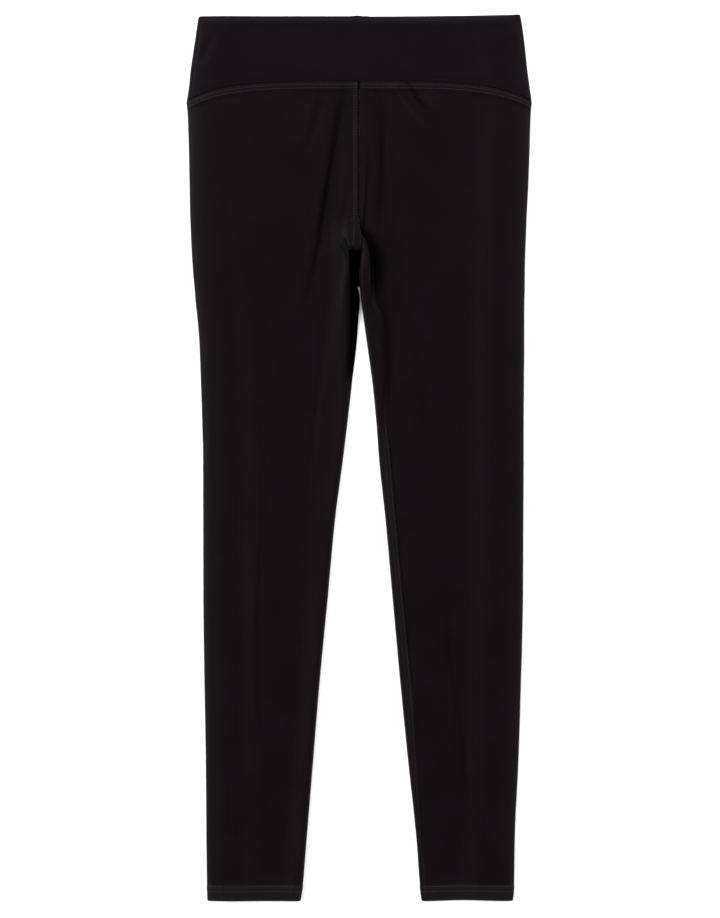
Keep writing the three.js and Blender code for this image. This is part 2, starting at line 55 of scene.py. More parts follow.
# %% Driving sizes
MM = 0.001
LENGTH = 960
WAIST_Y = LENGTH / 2 - 1
LEG_CLOTH, HEM_CLOTH, BAND_CLOTH = 1.1, 2.0, 2.2
HEM_DEPTH = 15
BAND_SIDE_DEPTH, BAND_SIDE_HALF, BAND_TOP_HALF = 92.5, 187.3, 174
FRONT_ARCH, BACK_ARCH = 21.7, 14.5
WAIST_LIFT = 2
BAND_MIDDLE, BAND_RIM = 5.4, 6.8
SIDE_SEAM_IN = 3.2
HALF_GAP = 0.15
SEAM_CLOSED = 0.05
OUTER_ROUND = 4.5
UNDER_ROUND, FOLD_LEVEL = 2.6, 1.9
SHOULDER_WIDTH, SHOULDER_FADE = 32, 32
INNER_RIM_WIDTH = 26
STEP_WIDTH = 4.4
STRIP_TILT = {"right": 0, "left": 2.6}
SEAM_SHIFT_ENDS = 170
CLOSING_START, CLOSING_END, TUBE_START = 286, 297, 303
HEM_PULL, HEM_INNER, HEM_OUTER = 1.2, 68, 167
BACK_SEAM_IN = 11
RIM_FROM, RIM_TO, RIM_OUT, RIM_SLANT = 226, 300, 5.5, 1 / 21
STRIP_TILT_FROM, STRIP_TILT_LENGTH = 420, 60
SIDES = {"right": -1, "left": 1}


# %% [markdown]
# ## Reading a table as a smooth curve
# A pattern cutter marks a few stations down a leg and joins them with a curve. The tables below do
# the same. A cubic through the marks is used, with slopes that never overshoot, since an ordinary
# spline would swing past a mark and put a bulge in the outline.

# %% Tables and soft steps
def table(names, rows):
    """Keeps the rows of a short table under the names of its columns."""
    return {name: np.array(column, float) for name, column in zip(names.split(), zip(*rows))}


def read(columns, name, at):
    """Cubic pieces between rows. The slope at a row is the harmonic mean of the slopes beside it."""
    x, y = columns["down"], columns[name]
    at = np.clip(at, x[0], x[-1])
    steps = np.diff(y) / np.diff(x)
    product = steps[:-1] * steps[1:]
    total = np.where(product > 0, steps[:-1] + steps[1:], 1)
    slope = np.concatenate([steps[:1], np.where(product > 0, 2 * product / total, 0), steps[-1:]])
    i = np.clip(np.searchsorted(x, at, side="right") - 1, 0, len(x) - 2)
    step = x[i + 1] - x[i]
    t = (at - x[i]) / step
    start = y[i] * (1 + 2 * t) * (1 - t) ** 2 + slope[i] * step * t * (1 - t) ** 2
    end = y[i + 1] * t * t * (3 - 2 * t) + slope[i + 1] * step * t * t * (t - 1)
    return start + end


def soften(t):
    """The soft step 3t² - 2t³, held at 0 before it and at 1 after it."""
    s = np.clip(t, 0, 1)
    return s * s * (3 - 2 * s)


def mix(a, b, t):
    return a + (b - a) * t


def bell(across):
    """A soft bump, 1 in the middle and near 0 at two widths away."""
    return np.exp(-np.square(across))


def uneven(at, wavelength, seed):
    """An irregular wave between -1 and 1: the mean of three sines whose lengths share no measure."""
    phase = np.random.default_rng(seed).uniform(0, 2 * np.pi, 3)
    turns = 2 * np.pi * np.asarray(at, float) / wavelength
    return (np.sin(turns + phase[0]) + np.sin(turns * 0.618 + phase[1]) + np.sin(turns * 1.73 + phase[2])) / 3


print("soft step at a quarter:", soften(0.25))

# %% [markdown]
# ## The outline
# The legs taper from the hip to the ankle and spread a little, so the thighs part below the crotch.
# Each leg has its own table, because cloth laid down by hand is never quite the same on both sides.

# %% Outline tables
BAND_EDGE = table("down left right", [
    [-2, 173.6, 173.9], [0, 174.0, 174.5], [26, 177.9, 178.7],
    [58.6, 182.7, 182.3], [80.3, 185.1, 185.3], [92.5, 187.2, 187.2],
])

RIGHT_EDGE = table("down outer inner round", [
    [92.5, 187.5, 0.15, 0], [102, 186.4, 0.15, 0], [134, 185.2, 0.15, 0], [178, 184.2, 0.15, 0],
    [215, 183.5, 0.15, 0], [217, 183.4, 0.5, 0], [226, 183.1, 5.5, 0], [240, 182.5, 7.0, 0],
    [250, 182.0, 7.3, 0], [256, 181.7, 8.5, 0], [262, 181.4, 8.3, 0], [275, 180.5, 6.0, 0],
    [285, 179.7, 3.9, 0], [294, 178.8, 1.7, 1.3], [300, 178.3, 0.2, 1.8], [308, 177.7, -0.8, 1.8],
    [325, 175.9, 0.4, 1.6], [351, 173.6, 2.3, 1.6], [400, 171.7, 8.0, 1.7], [440, 170.4, 12.5, 2.6],
    [482, 169.4, 17.7, 3.6], [547, 169.3, 26.2, 3.8], [633, 169.1, 34.2, 3.8], [720, 168.0, 42.6, 3.8],
    [807, 166.5, 49.8, 3.8], [894, 165.8, 57.0, 3.8], [944, 165.2, 61.2, 3.6], [960, 164.8, 63.4, 3.4],
])

LEFT_EDGE = table("down outer inner round", [
    [92.5, 187.5, 0.15, 0], [102, 186.4, 0.15, 0], [134, 185.3, 0.15, 0], [178, 183.8, 0.15, 0],
    [215, 181.9, 0.15, 0], [217, 181.8, 0.5, 0], [226, 181.5, 0.9, 0], [240, 181.0, 1.8, 1.6],
    [252, 180.5, 2.6, 3.2], [260, 180.2, 1.9, 4.3], [269, 180.0, 0.9, 4.5], [281, 179.8, -0.2, 4.5],
    [294, 179.7, 0.5, 4.5], [300, 179.6, 1.1, 4.5], [308, 179.4, 1.9, 4.4], [325, 179.2, 4.3, 4.2],
    [351, 179.2, 7.9, 4.0], [400, 178.9, 14.6, 3.8], [440, 178.6, 18.6, 3.8], [482, 178.6, 21.7, 3.8],
    [547, 178.2, 28.6, 3.8], [633, 177.8, 36.4, 3.8], [720, 175.7, 44.3, 3.8], [807, 172.9, 53.0, 3.8],
    [894, 168.9, 62.2, 3.8], [944, 168.2, 66.0, 3.6], [960, 166.9, 67.6, 3.4],
])

# Lower is where the under layer ends towards the middle. Front and back are how far each edge of the
# cloth turns round the inner fold, in degrees from its top.
RIGHT_CUT = table("down lower front back", [
    [92.5, 0.15, 0, 180], [238, 0.15, 0, 180], [241, 0.5, 0, 180], [255, 4.0, 0, 180],
    [270, 5.5, 0, 180], [285, 5.3, 0, 180], [292, 3.5, 20, 176], [297, 2.4, 120, 138],
    [303, 1.5, 130, 130], [350, 4, 130, 130], [960, 67, 130, 130],
])
LEFT_CUT = table("down lower front back", [
    [92.5, 0.15, 0, 180], [226, 0.15, 0, 180], [238, 0.15, 12, 180], [241, 0.5, 25, 180],
    [252, 3.5, 80, 180], [258, 4.4, 122, 180], [270, 5.6, 128, 180], [285, 5.3, 128, 180],
    [292, 5.0, 128, 176], [297, 5.2, 128, 140], [303, 5.8, 130, 130], [330, 8.6, 130, 130],
    [960, 71, 130, 130],
])

# Heights of the upper layer. The strip beside the inner fold has a level of its own up to its edge.
RIGHT_HEIGHT = table("down middle rim outerRim edge level", [
    [92.5, 5.2, 5.2, 6.6, -4, 5.2], [150, 4.6, 5.6, 7.0, -4, 5.6], [215, 4.4, 6.2, 7.0, -4, 6.2],
    [240, 4.4, 8.2, 7.0, 3.0, 8.2], [248, 4.4, 8.6, 7.0, 4.0, 5.0], [256, 4.4, 8.0, 7.0, 10.2, 3.2],
    [280, 4.3, 7.4, 7.0, 9.4, 3.5], [308, 4.2, 7.0, 7.0, 8.8, 3.7], [351, 4.0, 6.8, 7.0, 9.2, 3.4],
    [385, 3.8, 6.6, 7.0, 10.6, 3.2], [416, 3.6, 6.4, 7.0, 11.6, 3.8], [440, 3.5, 6.2, 7.0, 9.0, 5.0],
    [482, 3.4, 6.2, 7.0, 12.0, 6.0], [930, 3.4, 6.0, 6.6, 50.0, 6.0], [948, 4.7, 6.2, 6.6, 50.0, 6.0],
    [960, 4.7, 6.2, 6.6, 50.0, 6.0],
])
LEFT_HEIGHT = table("down middle rim outerRim edge level", [
    [92.5, 5.2, 5.2, 6.6, -4, 5.2], [150, 4.6, 5.4, 7.0, -4, 5.4], [215, 4.4, 6.0, 7.0, -4, 6.0],
    [230, 4.4, 6.2, 7.0, -2, 6.8], [240, 4.3, 3.6, 7.0, 7.0, 8.8], [248, 4.3, 3.2, 7.0, 10.0, 10.4],
    [256, 4.3, 3.0, 7.0, 12.0, 11.2], [270, 4.3, 3.0, 7.0, 13.2, 11.6], [290, 4.3, 3.0, 7.0, 13.6, 10.8],
    [308, 4.2, 3.6, 7.0, 15.0, 7.6], [325, 4.1, 4.0, 7.0, 22.0, 5.8], [351, 4.0, 4.2, 7.0, 26.6, 5.0],
    [378, 3.9, 4.2, 7.0, 29.4, 4.8], [405, 3.8, 4.2, 7.0, 29.0, 4.8], [432, 3.6, 4.2, 6.8, 27.2, 5.0],
    [471, 3.5, 4.4, 6.6, 31.5, 5.3], [544, 3.4, 4.4, 6.4, 37.9, 5.6], [633, 3.4, 4.4, 6.4, 46.0, 5.6],
    [742, 3.4, 4.4, 6.4, 56.2, 5.6], [809, 3.4, 4.4, 6.4, 60.4, 5.7], [859, 3.4, 4.4, 6.4, 64.2, 5.8],
    [930, 3.4, 4.8, 6.4, 69.0, 6.0], [948, 4.7, 5.2, 6.4, 70.0, 6.0], [960, 4.7, 5.2, 6.4, 70.0, 6.0],
])

# Where the left leg's inseam shows on the front. The step beside the strip is wider near the crotch.
INSEAM = table("down out", [
    [303, 17.2], [325, 24.2], [351, 28.8], [378, 31.6], [405, 31.2], [432, 29.4], [471, 33.5], [544, 40.1],
    [633, 48.2], [742, 58.4], [809, 62.4], [859, 64.9], [908, 67.9], [960, 69.4],
])
STEP_WIDTHS = table("down wide", [[92.5, 4.4], [300, 4.4], [335, 9], [410, 9], [460, 4.4], [960, 4.4]])
LEGS = {
    "right": {"edge": RIGHT_EDGE, "cut": RIGHT_CUT, "height": RIGHT_HEIGHT},
    "left": {"edge": LEFT_EDGE, "cut": LEFT_CUT, "height": LEFT_HEIGHT},
}
print("stations:", {name: len(leg["edge"]["down"]) for name, leg in LEGS.items()})

# %% [markdown]
# ## The creases
# Stretch cloth that lies flat still keeps the memory of the body and of its folding: soft troughs run
# from the crotch up to the hips, and a long shallow one runs down each shin. Each crease is a row of
# a list: its name, how far it rises or sinks, half its width, how dark the painted shade in its bed is,
# and its line as down and out. A simulation would settle them at random, and here they have to lie
# where they were seen, so they are placed one by one.

# %% Crease lists
FOLDS = {
    "right": [
        ("main crease", -0.7, 4.6, 0.62, [
            [84, 14], [113, 20.6], [156, 30.5], [200, 38], [227, 42], [243, 44.1], [267, 48.4], [286, 53.2],
            [318, 59.5],
        ]),
        ("crease side", 0, 7, 0.26, [[100, 9], [156, 23.5], [200, 31], [227, 36], [250, 42]]),
        ("between folds", 0, 3, 0.15, [[190, 14], [227, 20.8], [243, 23], [267, 21], [292, 23.5]]),
        ("first fold", 0.55, 9, 0, [[100, 8], [156, 14], [200, 20], [227, 24], [267, 29], [312, 34]]),
        ("second fold", 0.4, 4, 0, [[185, 6], [227, 12], [267, 13], [308, 17], [345, 19]]),
        ("second crease", -0.5, 5, 0.2, [[94, 41], [118, 47.5], [150, 59]]),
        ("thigh ridge", 0.6, 8, 0, [[300, 21], [345, 25], [410, 33], [541, 46], [640, 54]]),
        ("thigh crease", -0.5, 5, 0.1, [[300, 36], [370, 41], [440, 49], [520, 56]]),
        ("knee crease", -0.6, 9, 0.1, [[430, 102], [580, 107], [700, 114], [825, 106]]),
        ("knee crease bed", -0.3, 3, 0.12, [[470, 104], [580, 108.5], [690, 114], [790, 109]]),
        ("shin nick", -0.35, 4, 0.15, [[825, 141], [885, 141]]),
        ("upper pinch", -1.0, 2.0, 0.45, [[241, 14.5], [246, 13.6], [251, 11.5], [256, 9]]),
        ("lower pinch", -0.6, 2.0, 0.3, [[247, 19], [258, 13.5], [268, 11]]),
    ],
    "left": [
        ("crotch side", 0, 14, 0.17, [[180, 27], [240, 31], [300, 35], [350, 37]]),
        ("belly hollow", -0.5, 10, 0.28, [[92, 12], [118, 18], [156, 22], [200, 20], [236, 12]]),
        ("crotch trough", -0.3, 4, 0.24, [[98, 18], [118, 25.5], [160, 24.5], [205, 22.5], [236, 17]]),
        ("seam wedge", -0.7, 2.2, 0.65, [[150, 9.5], [186, 7.4], [205, 6.2], [240, 4]]),
        ("waist bump", 0.5, 4, 0, [[72, 33], [79, 37], [86, 41]]),
        ("waist crease", -0.3, 5, 0.22, [[76, 38], [95, 53], [112, 67], [124, 84]]),
        ("waist crease bed", -0.4, 2.2, 0.45, [[77, 38.5], [95, 53], [112, 67], [120, 81]]),
        ("hip crease", -0.4, 8, 0, [[120, 60], [180, 92], [235, 118]]),
        ("thigh crease", -0.4, 7, 0.1, [[320, 52], [400, 66], [500, 74]]),
        ("shin dip", -0.6, 12, 0.12, [[600, 90], [700, 97], [787, 114], [890, 122]]),
        ("shin crease bed", -0.3, 4, 0.12, [[630, 92], [705, 99], [780, 112], [860, 120]]),
    ],
}
BACK_FOLDS = {
    "right": [
        ("seat crease", 0.7, 7, 0, [[150, 22], [210, 38], [262, 58]]),
        ("under seat", 0.6, 5, 0, [[262, 20], [285, 48], [300, 84]]),
        ("knee back", 0.6, 9, 0, [[520, 84], [575, 110], [610, 140]]),
        ("calf", 0.5, 8, 0, [[640, 96], [760, 108], [860, 112]]),
    ],
    "left": [
        ("seat crease", 0.7, 6, 0, [[140, 26], [205, 44], [258, 70]]),
        ("under seat", 0.6, 5, 0, [[258, 18], [283, 52], [296, 92]]),
        ("knee back", 0.5, 10, 0, [[540, 92], [590, 120], [622, 150]]),
        ("calf", 0.5, 9, 0, [[655, 92], [745, 104], [880, 110]]),
    ],
}


def fold_height(folds, out, down, column=1):
    """Sum over creases of rise · sin(π·along)^0.6 · bell(across): full in the middle, gone at the ends.
    Column 1 of the list is the rise, and column 3 the painted shade in the bed of the crease."""
    total = np.zeros(np.broadcast(out, down).shape)
    for fold in folds:
        path = table("down out", fold[4])
        first, last = path["down"][0], path["down"][-1]
        along = np.clip((down - first) / (last - first), 0, 1)
        across = (out - read(path, "out", down)) / fold[2]
        total += fold[column] * np.sin(np.pi * along) ** 0.6 * bell(across)
    return total


print("creases:", {name: len(folds) + len(BACK_FOLDS[name]) for name, folds in FOLDS.items()})


# %% [markdown]
# ## The section of a leg
# A leg is a flattened tube. Its section starts at the front edge, crosses the front to the outer
# fold, turns round it, and comes back flat on the floor to the back edge. Above the crotch those two
# edges are the middle seams, and below it they meet, so the section closes into a ring.
# The line is worked out finely first, and the grid's points are then spread along it, closer together
# where the form is small. One interpolation serves all rows at once, because each row's running
# length is shifted by two from the row before.

# %% Waist seam and rows
def seam_arch(share, front):
    """How far down the waist seam is: a parabola and a steeper power of the way out to the side."""
    s = np.minimum(np.abs(share), 1)
    on_front = BAND_SIDE_DEPTH - FRONT_ARCH + 3.3 * s ** 2 + 18.4 * s ** 5
    on_back = BAND_SIDE_DEPTH - BACK_ARCH + 6 * s ** 2 + 8.5 * s ** 4
    return np.where(front, on_front, on_back)


def down_at(row, out, outer, front):
    """Rows start on the arched seam and straighten out over the hip."""
    fade = 1 - soften((row - BAND_SIDE_DEPTH) / (SEAM_SHIFT_ENDS - BAND_SIDE_DEPTH))
    return row + (seam_arch(out / outer, front) - BAND_SIDE_DEPTH) * fade


def waist_line(x):
    """The top edge rises a little towards the left side."""
    return np.where(x > 0, -WAIST_LIFT * (x / BAND_TOP_HALF) ** 2, 0)


def rows_between(*stations):
    """Row positions from pairs of a station and the spacing that follows it."""
    parts = [np.arange(a, b, gap) for (a, gap), (b, _) in zip(stations[:-1], stations[1:])]
    return np.concatenate(parts)


HEM_ROLL = HEM_CLOTH / 2
ROLL_TURNS = np.radians([0, 18, 36, 54, 68, 80])
ROW_STATIONS = (92.65, 0.35), (94.1, 0.8), (106, 1.8), (214, 1.2), (310, 3), (451, 6.5), (936, 1), (958.6, 0)
LEG_ROWS = np.concatenate([
    rows_between(*ROW_STATIONS),
    LENGTH - HEM_ROLL + HEM_ROLL * np.sin(ROLL_TURNS),
])
print("rows on a leg:", len(LEG_ROWS))


# %% Height of the front of a leg
def shoulder(from_edge):
    """A quarter ellipse: 0 and upright at the outline, 1 and level at its width."""
    return np.sqrt(np.maximum(1 - (1 - np.clip(from_edge / SHOULDER_WIDTH, 0, 1)) ** 2, 0))


def leg_height(name, out, row):
    """Middle height, a soft rim at the inner fold, a round shoulder down to the outer one, the creases,
    the strip by the inner fold, and the low ridge where the allowance lies under the waist seam. Beside
    the gusset the right leg's rim follows a straight slant, since its strip edge jumps there."""
    edge, height = LEGS[name]["edge"], LEGS[name]["height"]
    outer, inner = read(edge, "outer", row), read(edge, "inner", row)
    strip_edge, middle = read(height, "edge", row), read(height, "middle", row)
    down = down_at(row, out, outer, True)
    rim_start = np.maximum(strip_edge, inner)
    if name == "right":
        slant = RIM_OUT + (row - RIM_FROM) * RIM_SLANT
        rim_start = np.where((row > RIM_FROM) & (row < RIM_TO), slant, rim_start)
    from_strip = out - rim_start
    from_outer = outer - out
    inner_rim = (read(height, "rim", row) - middle) * (1 - soften(from_strip / INNER_RIM_WIDTH))
    past_shoulder = soften((from_outer - SHOULDER_WIDTH) / SHOULDER_FADE)
    outer_rim = (read(height, "outerRim", row) - middle) * (1 - past_shoulder)
    panel = middle + inner_rim + outer_rim + fold_height(FOLDS[name], out, down)
    step = read(STEP_WIDTHS, "wide", row) if name == "left" else STEP_WIDTH
    on_panel = soften((out - strip_edge) / step + 0.5)
    below_seam = down - seam_arch(out / outer, True)
    allowance = 0.5 * soften(below_seam / 2) * (1 - soften((below_seam - 6) / 4))
    across_strip = np.clip((out - inner) / np.maximum(strip_edge - inner, 1), 0, 1)
    tilt = STRIP_TILT[name] * (across_strip - 0.6) * soften((row - STRIP_TILT_FROM) / STRIP_TILT_LENGTH)
    top = mix(read(height, "level", row) + tilt, panel, on_panel) + allowance
    return mix(FOLD_LEVEL, top, shoulder(from_outer))


# %% Fine line round a leg
FOLD_POINTS, PANEL_POINTS, FLAT_POINTS = 48, 640, 240
SPACING = {
    "innerFold": 0.7, "strip": 0.85, "creased": 2.0, "plain": 2.9, "outerFold": 0.9, "flat": 6.0, "edge": 1.1,
}
STRIP_MARGIN, CREASED_WIDTH, EDGE_WIDTH = 11, 60, 15


def leg_line(name, rows):
    """The line round a leg in every row, as out, height and wanted spacing: front, outer turn, under.
    The folds are half ellipses: out = inner + round·(1 - sin turn), height = top/2·(1 + cos turn)."""
    row = rows[:, None]
    edge, cut, height = LEGS[name]["edge"], LEGS[name]["cut"], LEGS[name]["height"]
    outer, inner, inner_round = (read(edge, key, row) for key in ("outer", "inner", "round"))
    closing = soften((row - CLOSING_START) / (CLOSING_END - CLOSING_START))
    lower = mix(read(cut, "lower", row), inner + inner_round, closing)
    top_start, outer_start = inner + inner_round, outer - OUTER_ROUND
    strip_end = read(height, "edge", row) + STRIP_MARGIN
    fine, flat = np.linspace(0, 1, FOLD_POINTS), np.linspace(0, 1, FLAT_POINTS)

    front_turn = np.radians(read(cut, "front", row)) * (1 - fine)
    front_out = inner + inner_round * (1 - np.sin(front_turn))
    front_height = leg_height(name, top_start, row) / 2 * (1 + np.cos(front_turn))
    panel_out = mix(top_start, outer_start, np.linspace(0, 1, PANEL_POINTS))
    creased = (panel_out < top_start + CREASED_WIDTH) | (panel_out > outer_start - EDGE_WIDTH)
    panel_step = np.where(creased, SPACING["creased"], SPACING["plain"])
    panel_step = np.where(panel_out < strip_end, SPACING["strip"], panel_step)
    outer_turn = np.pi * fine + 0 * row
    over = outer_turn < np.pi / 2
    outer_out = outer - np.where(over, OUTER_ROUND, UNDER_ROUND) * (1 - np.sin(outer_turn))
    outer_height = np.where(over, leg_height(name, outer_out, row), FOLD_LEVEL * (1 + np.cos(outer_turn)))
    flat_out = mix(outer - UNDER_ROUND, lower, flat)
    from_turn = soften((outer - UNDER_ROUND - flat_out) / EDGE_WIDTH)
    recess = fold_height(BACK_FOLDS[name], flat_out, row) * from_turn
    flat_step = np.where(flat_out < lower + EDGE_WIDTH, SPACING["edge"], SPACING["flat"])
    back_turn = mix(np.pi, np.radians(read(cut, "back", row)), fine)
    back_out = inner + (lower - inner) * (1 - np.sin(back_turn))
    back_height = leg_height(name, top_start, row) / 2 * (1 + np.cos(back_turn))

    join = lambda *parts: np.concatenate(parts, axis=1)
    even = lambda key, like: np.full(like.shape, SPACING[key])
    upper = (join(front_out, panel_out), join(front_height, leg_height(name, panel_out, row)),
             join(even("innerFold", front_out), panel_step))
    turn = (outer_out, outer_height, even("outerFold", outer_out))
    under_step = join(flat_step, even("innerFold", back_out))
    under = (join(flat_out, back_out), join(recess, back_height), under_step)
    return upper, turn, under


def spread(line, count):
    """Count + 1 points along each row's line, as close as its wanted spacing asks."""
    out, height, step = line
    lengths = np.hypot(np.diff(out), np.diff(height)) / step[:, 1:] + 1e-9
    cost = np.concatenate([np.zeros((len(out), 1)), np.cumsum(lengths, axis=1)], axis=1)
    shift = 2.0 * np.arange(len(out))[:, None]
    known = (cost / cost[:, -1:] + shift).ravel()
    wanted = (np.linspace(0, 1, count + 1)[None, :] + shift).ravel()
    return [np.interp(wanted, known, values.ravel()).reshape(len(out), -1) for values in (out, height)]


# %% [markdown]
# ## A wall of cloth
# Cloth has two faces and a cut edge. The skin is the grid of points, and the lining is the same grid
# moved inwards along the surface's own normal by the thickness of the cloth. Rims join the two at the
# edges. Blender's Solidify would do the same with one even thickness, but a hem is twice as thick as
# the leg above it and its edge is round, so the two faces are worked out here.

# %% Normals and walls
def normals_of(points, ring_from):
    """Cross product of the grid's two directions. From its first ring row on, a grid is closed."""
    along = np.gradient(points, axis=0)
    across = np.gradient(points, axis=1)
    across[ring_from:, 0] = across[ring_from:, -1] = (points[ring_from:, 1] - points[ring_from:, -2]) / 2
    normal = np.cross(along, across)
    return normal / np.maximum(np.linalg.norm(normal, axis=2, keepdims=True), 1e-9)


def put(name, vertices, corners, uv, material, marks):
    """Puts arrays into a mesh: vertices in millimetres, four corners a face, and their place in the
    cloth. Corners that no face uses are dropped. Marks are named values of the vertices, 0 to 1."""
    used, corners = np.unique(corners, return_inverse=True)
    corners = corners.reshape(-1, 4)
    mesh = bpy.data.meshes.new(name)
    mesh.vertices.add(len(used))
    mesh.vertices.foreach_set("co", (vertices[used] * MM).ravel())
    mesh.loops.add(corners.size)
    mesh.loops.foreach_set("vertex_index", corners.ravel())
    mesh.polygons.add(len(corners))
    mesh.polygons.foreach_set("loop_start", np.arange(0, corners.size, 4))
    layer = mesh.uv_layers.new(name="cloth")
    layer.data.foreach_set("uv", (uv * MM).ravel())
    for mark, values in marks.items():
        mesh.attributes.new(mark, "FLOAT", "POINT").data.foreach_set("value", values[used])
    mesh.update(calc_edges=True)
    mesh.validate()
    mesh.shade_smooth()
    mesh.materials.append(material)
    piece = bpy.data.objects.new(name, mesh)
    bpy.context.collection.objects.link(piece)
    return piece


def wall(name, skin, lining, uv, ring_from, flipped, material, marks):
    """Skin quads, lining quads turned round, a rim along both ends, and a rim down each open side."""
    rows, columns = skin.shape[:2]
    index = np.arange(rows * columns * 2).reshape(rows, columns, 2)
    corner_uv = np.repeat(uv[:, :, None, :], 2, axis=2).reshape(-1, 2)
    place = index.copy()
    if ring_from < rows:
        index[ring_from:, -1] = index[ring_from:, 0]
    opened = min(ring_from, rows - 1)

    def quads(cells):
        return np.stack([cell.ravel() for cell in cells], axis=1)

    top, side = place[:, :, 0], place[:, :, 1]
    faces = [
        quads((top[:-1, :-1], top[1:, :-1], top[1:, 1:], top[:-1, 1:])),
        quads((side[:-1, :-1], side[:-1, 1:], side[1:, 1:], side[1:, :-1])),
        quads((top[0, :-1], top[0, 1:], side[0, 1:], side[0, :-1])),
        quads((top[-1, :-1], side[-1, :-1], side[-1, 1:], top[-1, 1:])),
        quads((top[:opened, 0], side[:opened, 0], side[1:opened + 1, 0], top[1:opened + 1, 0])),
        quads((top[:opened, -1], top[1:opened + 1, -1], side[1:opened + 1, -1], side[:opened, -1])),
    ]
    corners = np.concatenate(faces)
    if flipped:
        corners = corners[:, ::-1]
    vertices = np.stack([skin, lining], axis=2).reshape(-1, 3)
    both = {key: np.repeat(np.broadcast_to(mark, skin.shape[:2]), 2) for key, mark in marks.items()}
    return put(name, vertices, index.ravel()[corners], corner_uv[corners.ravel()], material, both)


# %% [markdown]
# ## Shader maths as Python
# A finish is a small sum: base colour times mottling, plus the knit's relief. The class below wraps
# a socket, so that a + b adds a Math node, and any other node comes from one method.

# %% The socket class
class Value:
    """A shader socket that takes part in Python sums."""

    def __init__(self, tree, socket=None):
        self.tree, self.socket = tree, socket

    def node(self, kind, settings, inputs, output=0):
        """A node of a type, its settings, then the values or links of its sockets."""
        made = self.tree.nodes.new(kind)
        for key, value in settings.items():
            setattr(made, key, value)
        for key, value in inputs.items():
            if isinstance(value, Value):
                self.tree.links.new(value.socket, made.inputs[key])
            else:
                made.inputs[key].default_value = value
        return Value(self.tree, made.outputs[output])

    def maths(self, operation, *values):
        return self.node("ShaderNodeMath", {"operation": operation}, dict(enumerate(values)))

    def __add__(self, other):
        return self.maths("ADD", self, other)

    def __sub__(self, other):
        return self.maths("SUBTRACT", self, other)

    def __mul__(self, other):
        return self.maths("MULTIPLY", self, other)

    def __truediv__(self, other):
        return self.maths("DIVIDE", self, other)

    def __rsub__(self, other):
        return self.maths("SUBTRACT", other, self)

    __radd__ = __add__
    __rmul__ = __mul__

    def sine(self):
        return self.maths("SINE", self)

    def size(self):
        return self.maths("ABSOLUTE", self)

    def pingpong(self, top):
        return self.maths("PINGPONG", self, top)

    def between(self, low, high):
        """A soft step from 0 at low to 1 at high."""
        settings = {"interpolation_type": "SMOOTHSTEP", "clamp": True}
        return self.node("ShaderNodeMapRange", settings, {"Value": self, "From Min": low, "From Max": high})


def start(name, roughness):
    """A new material, its node tree as a value to build from, and its shader."""
    material = bpy.data.materials.new(name)
    material.use_nodes = True
    shader = material.node_tree.nodes["Principled BSDF"]
    shader.inputs["Roughness"].default_value = roughness
    return material, Value(material.node_tree), shader


def connect(value, shader, name):
    value.tree.links.new(value.socket, shader.inputs[name])


def blend(tree, low, high, factor):
    """A colour between two colours."""
    sockets = {"Factor": factor, 6: (*low, 1), 7: (*high, 1)}
    return tree.node("ShaderNodeMix", {"data_type": "RGBA"}, sockets, output=2)


# %% [markdown]
# ## The knit
# The cloth is a fine single jersey in black: columns of small V-shaped loops, called wales, with a
# dull face and a slight bloom of fibre that catches light at the rounded edges. The relief follows
# the cloth by its own map, in real millimetres, and the dye is mottled very softly over the surface.
# Two marks on the vertices change it, both painted light. A painted highlight brightens it on the
# hem, its lip, the ridge under the waist stitches and the band's top fold, and painted shade mixes it
# towards black in the creases and seams, which light alone leaves too bright on so low a relief.

# %% Knit and thread materials
WALE, COURSE = 0.85, 0.62
KNIT_DEPTH, TWIST_DEPTH = 0.12, 0.1
# Colour of the painted shade: a near-black diffuse mixed in where the cloth lies in shade.
PAINTED_SHADE_COLOUR = (0.0001, 0.0001, 0.0001, 1)


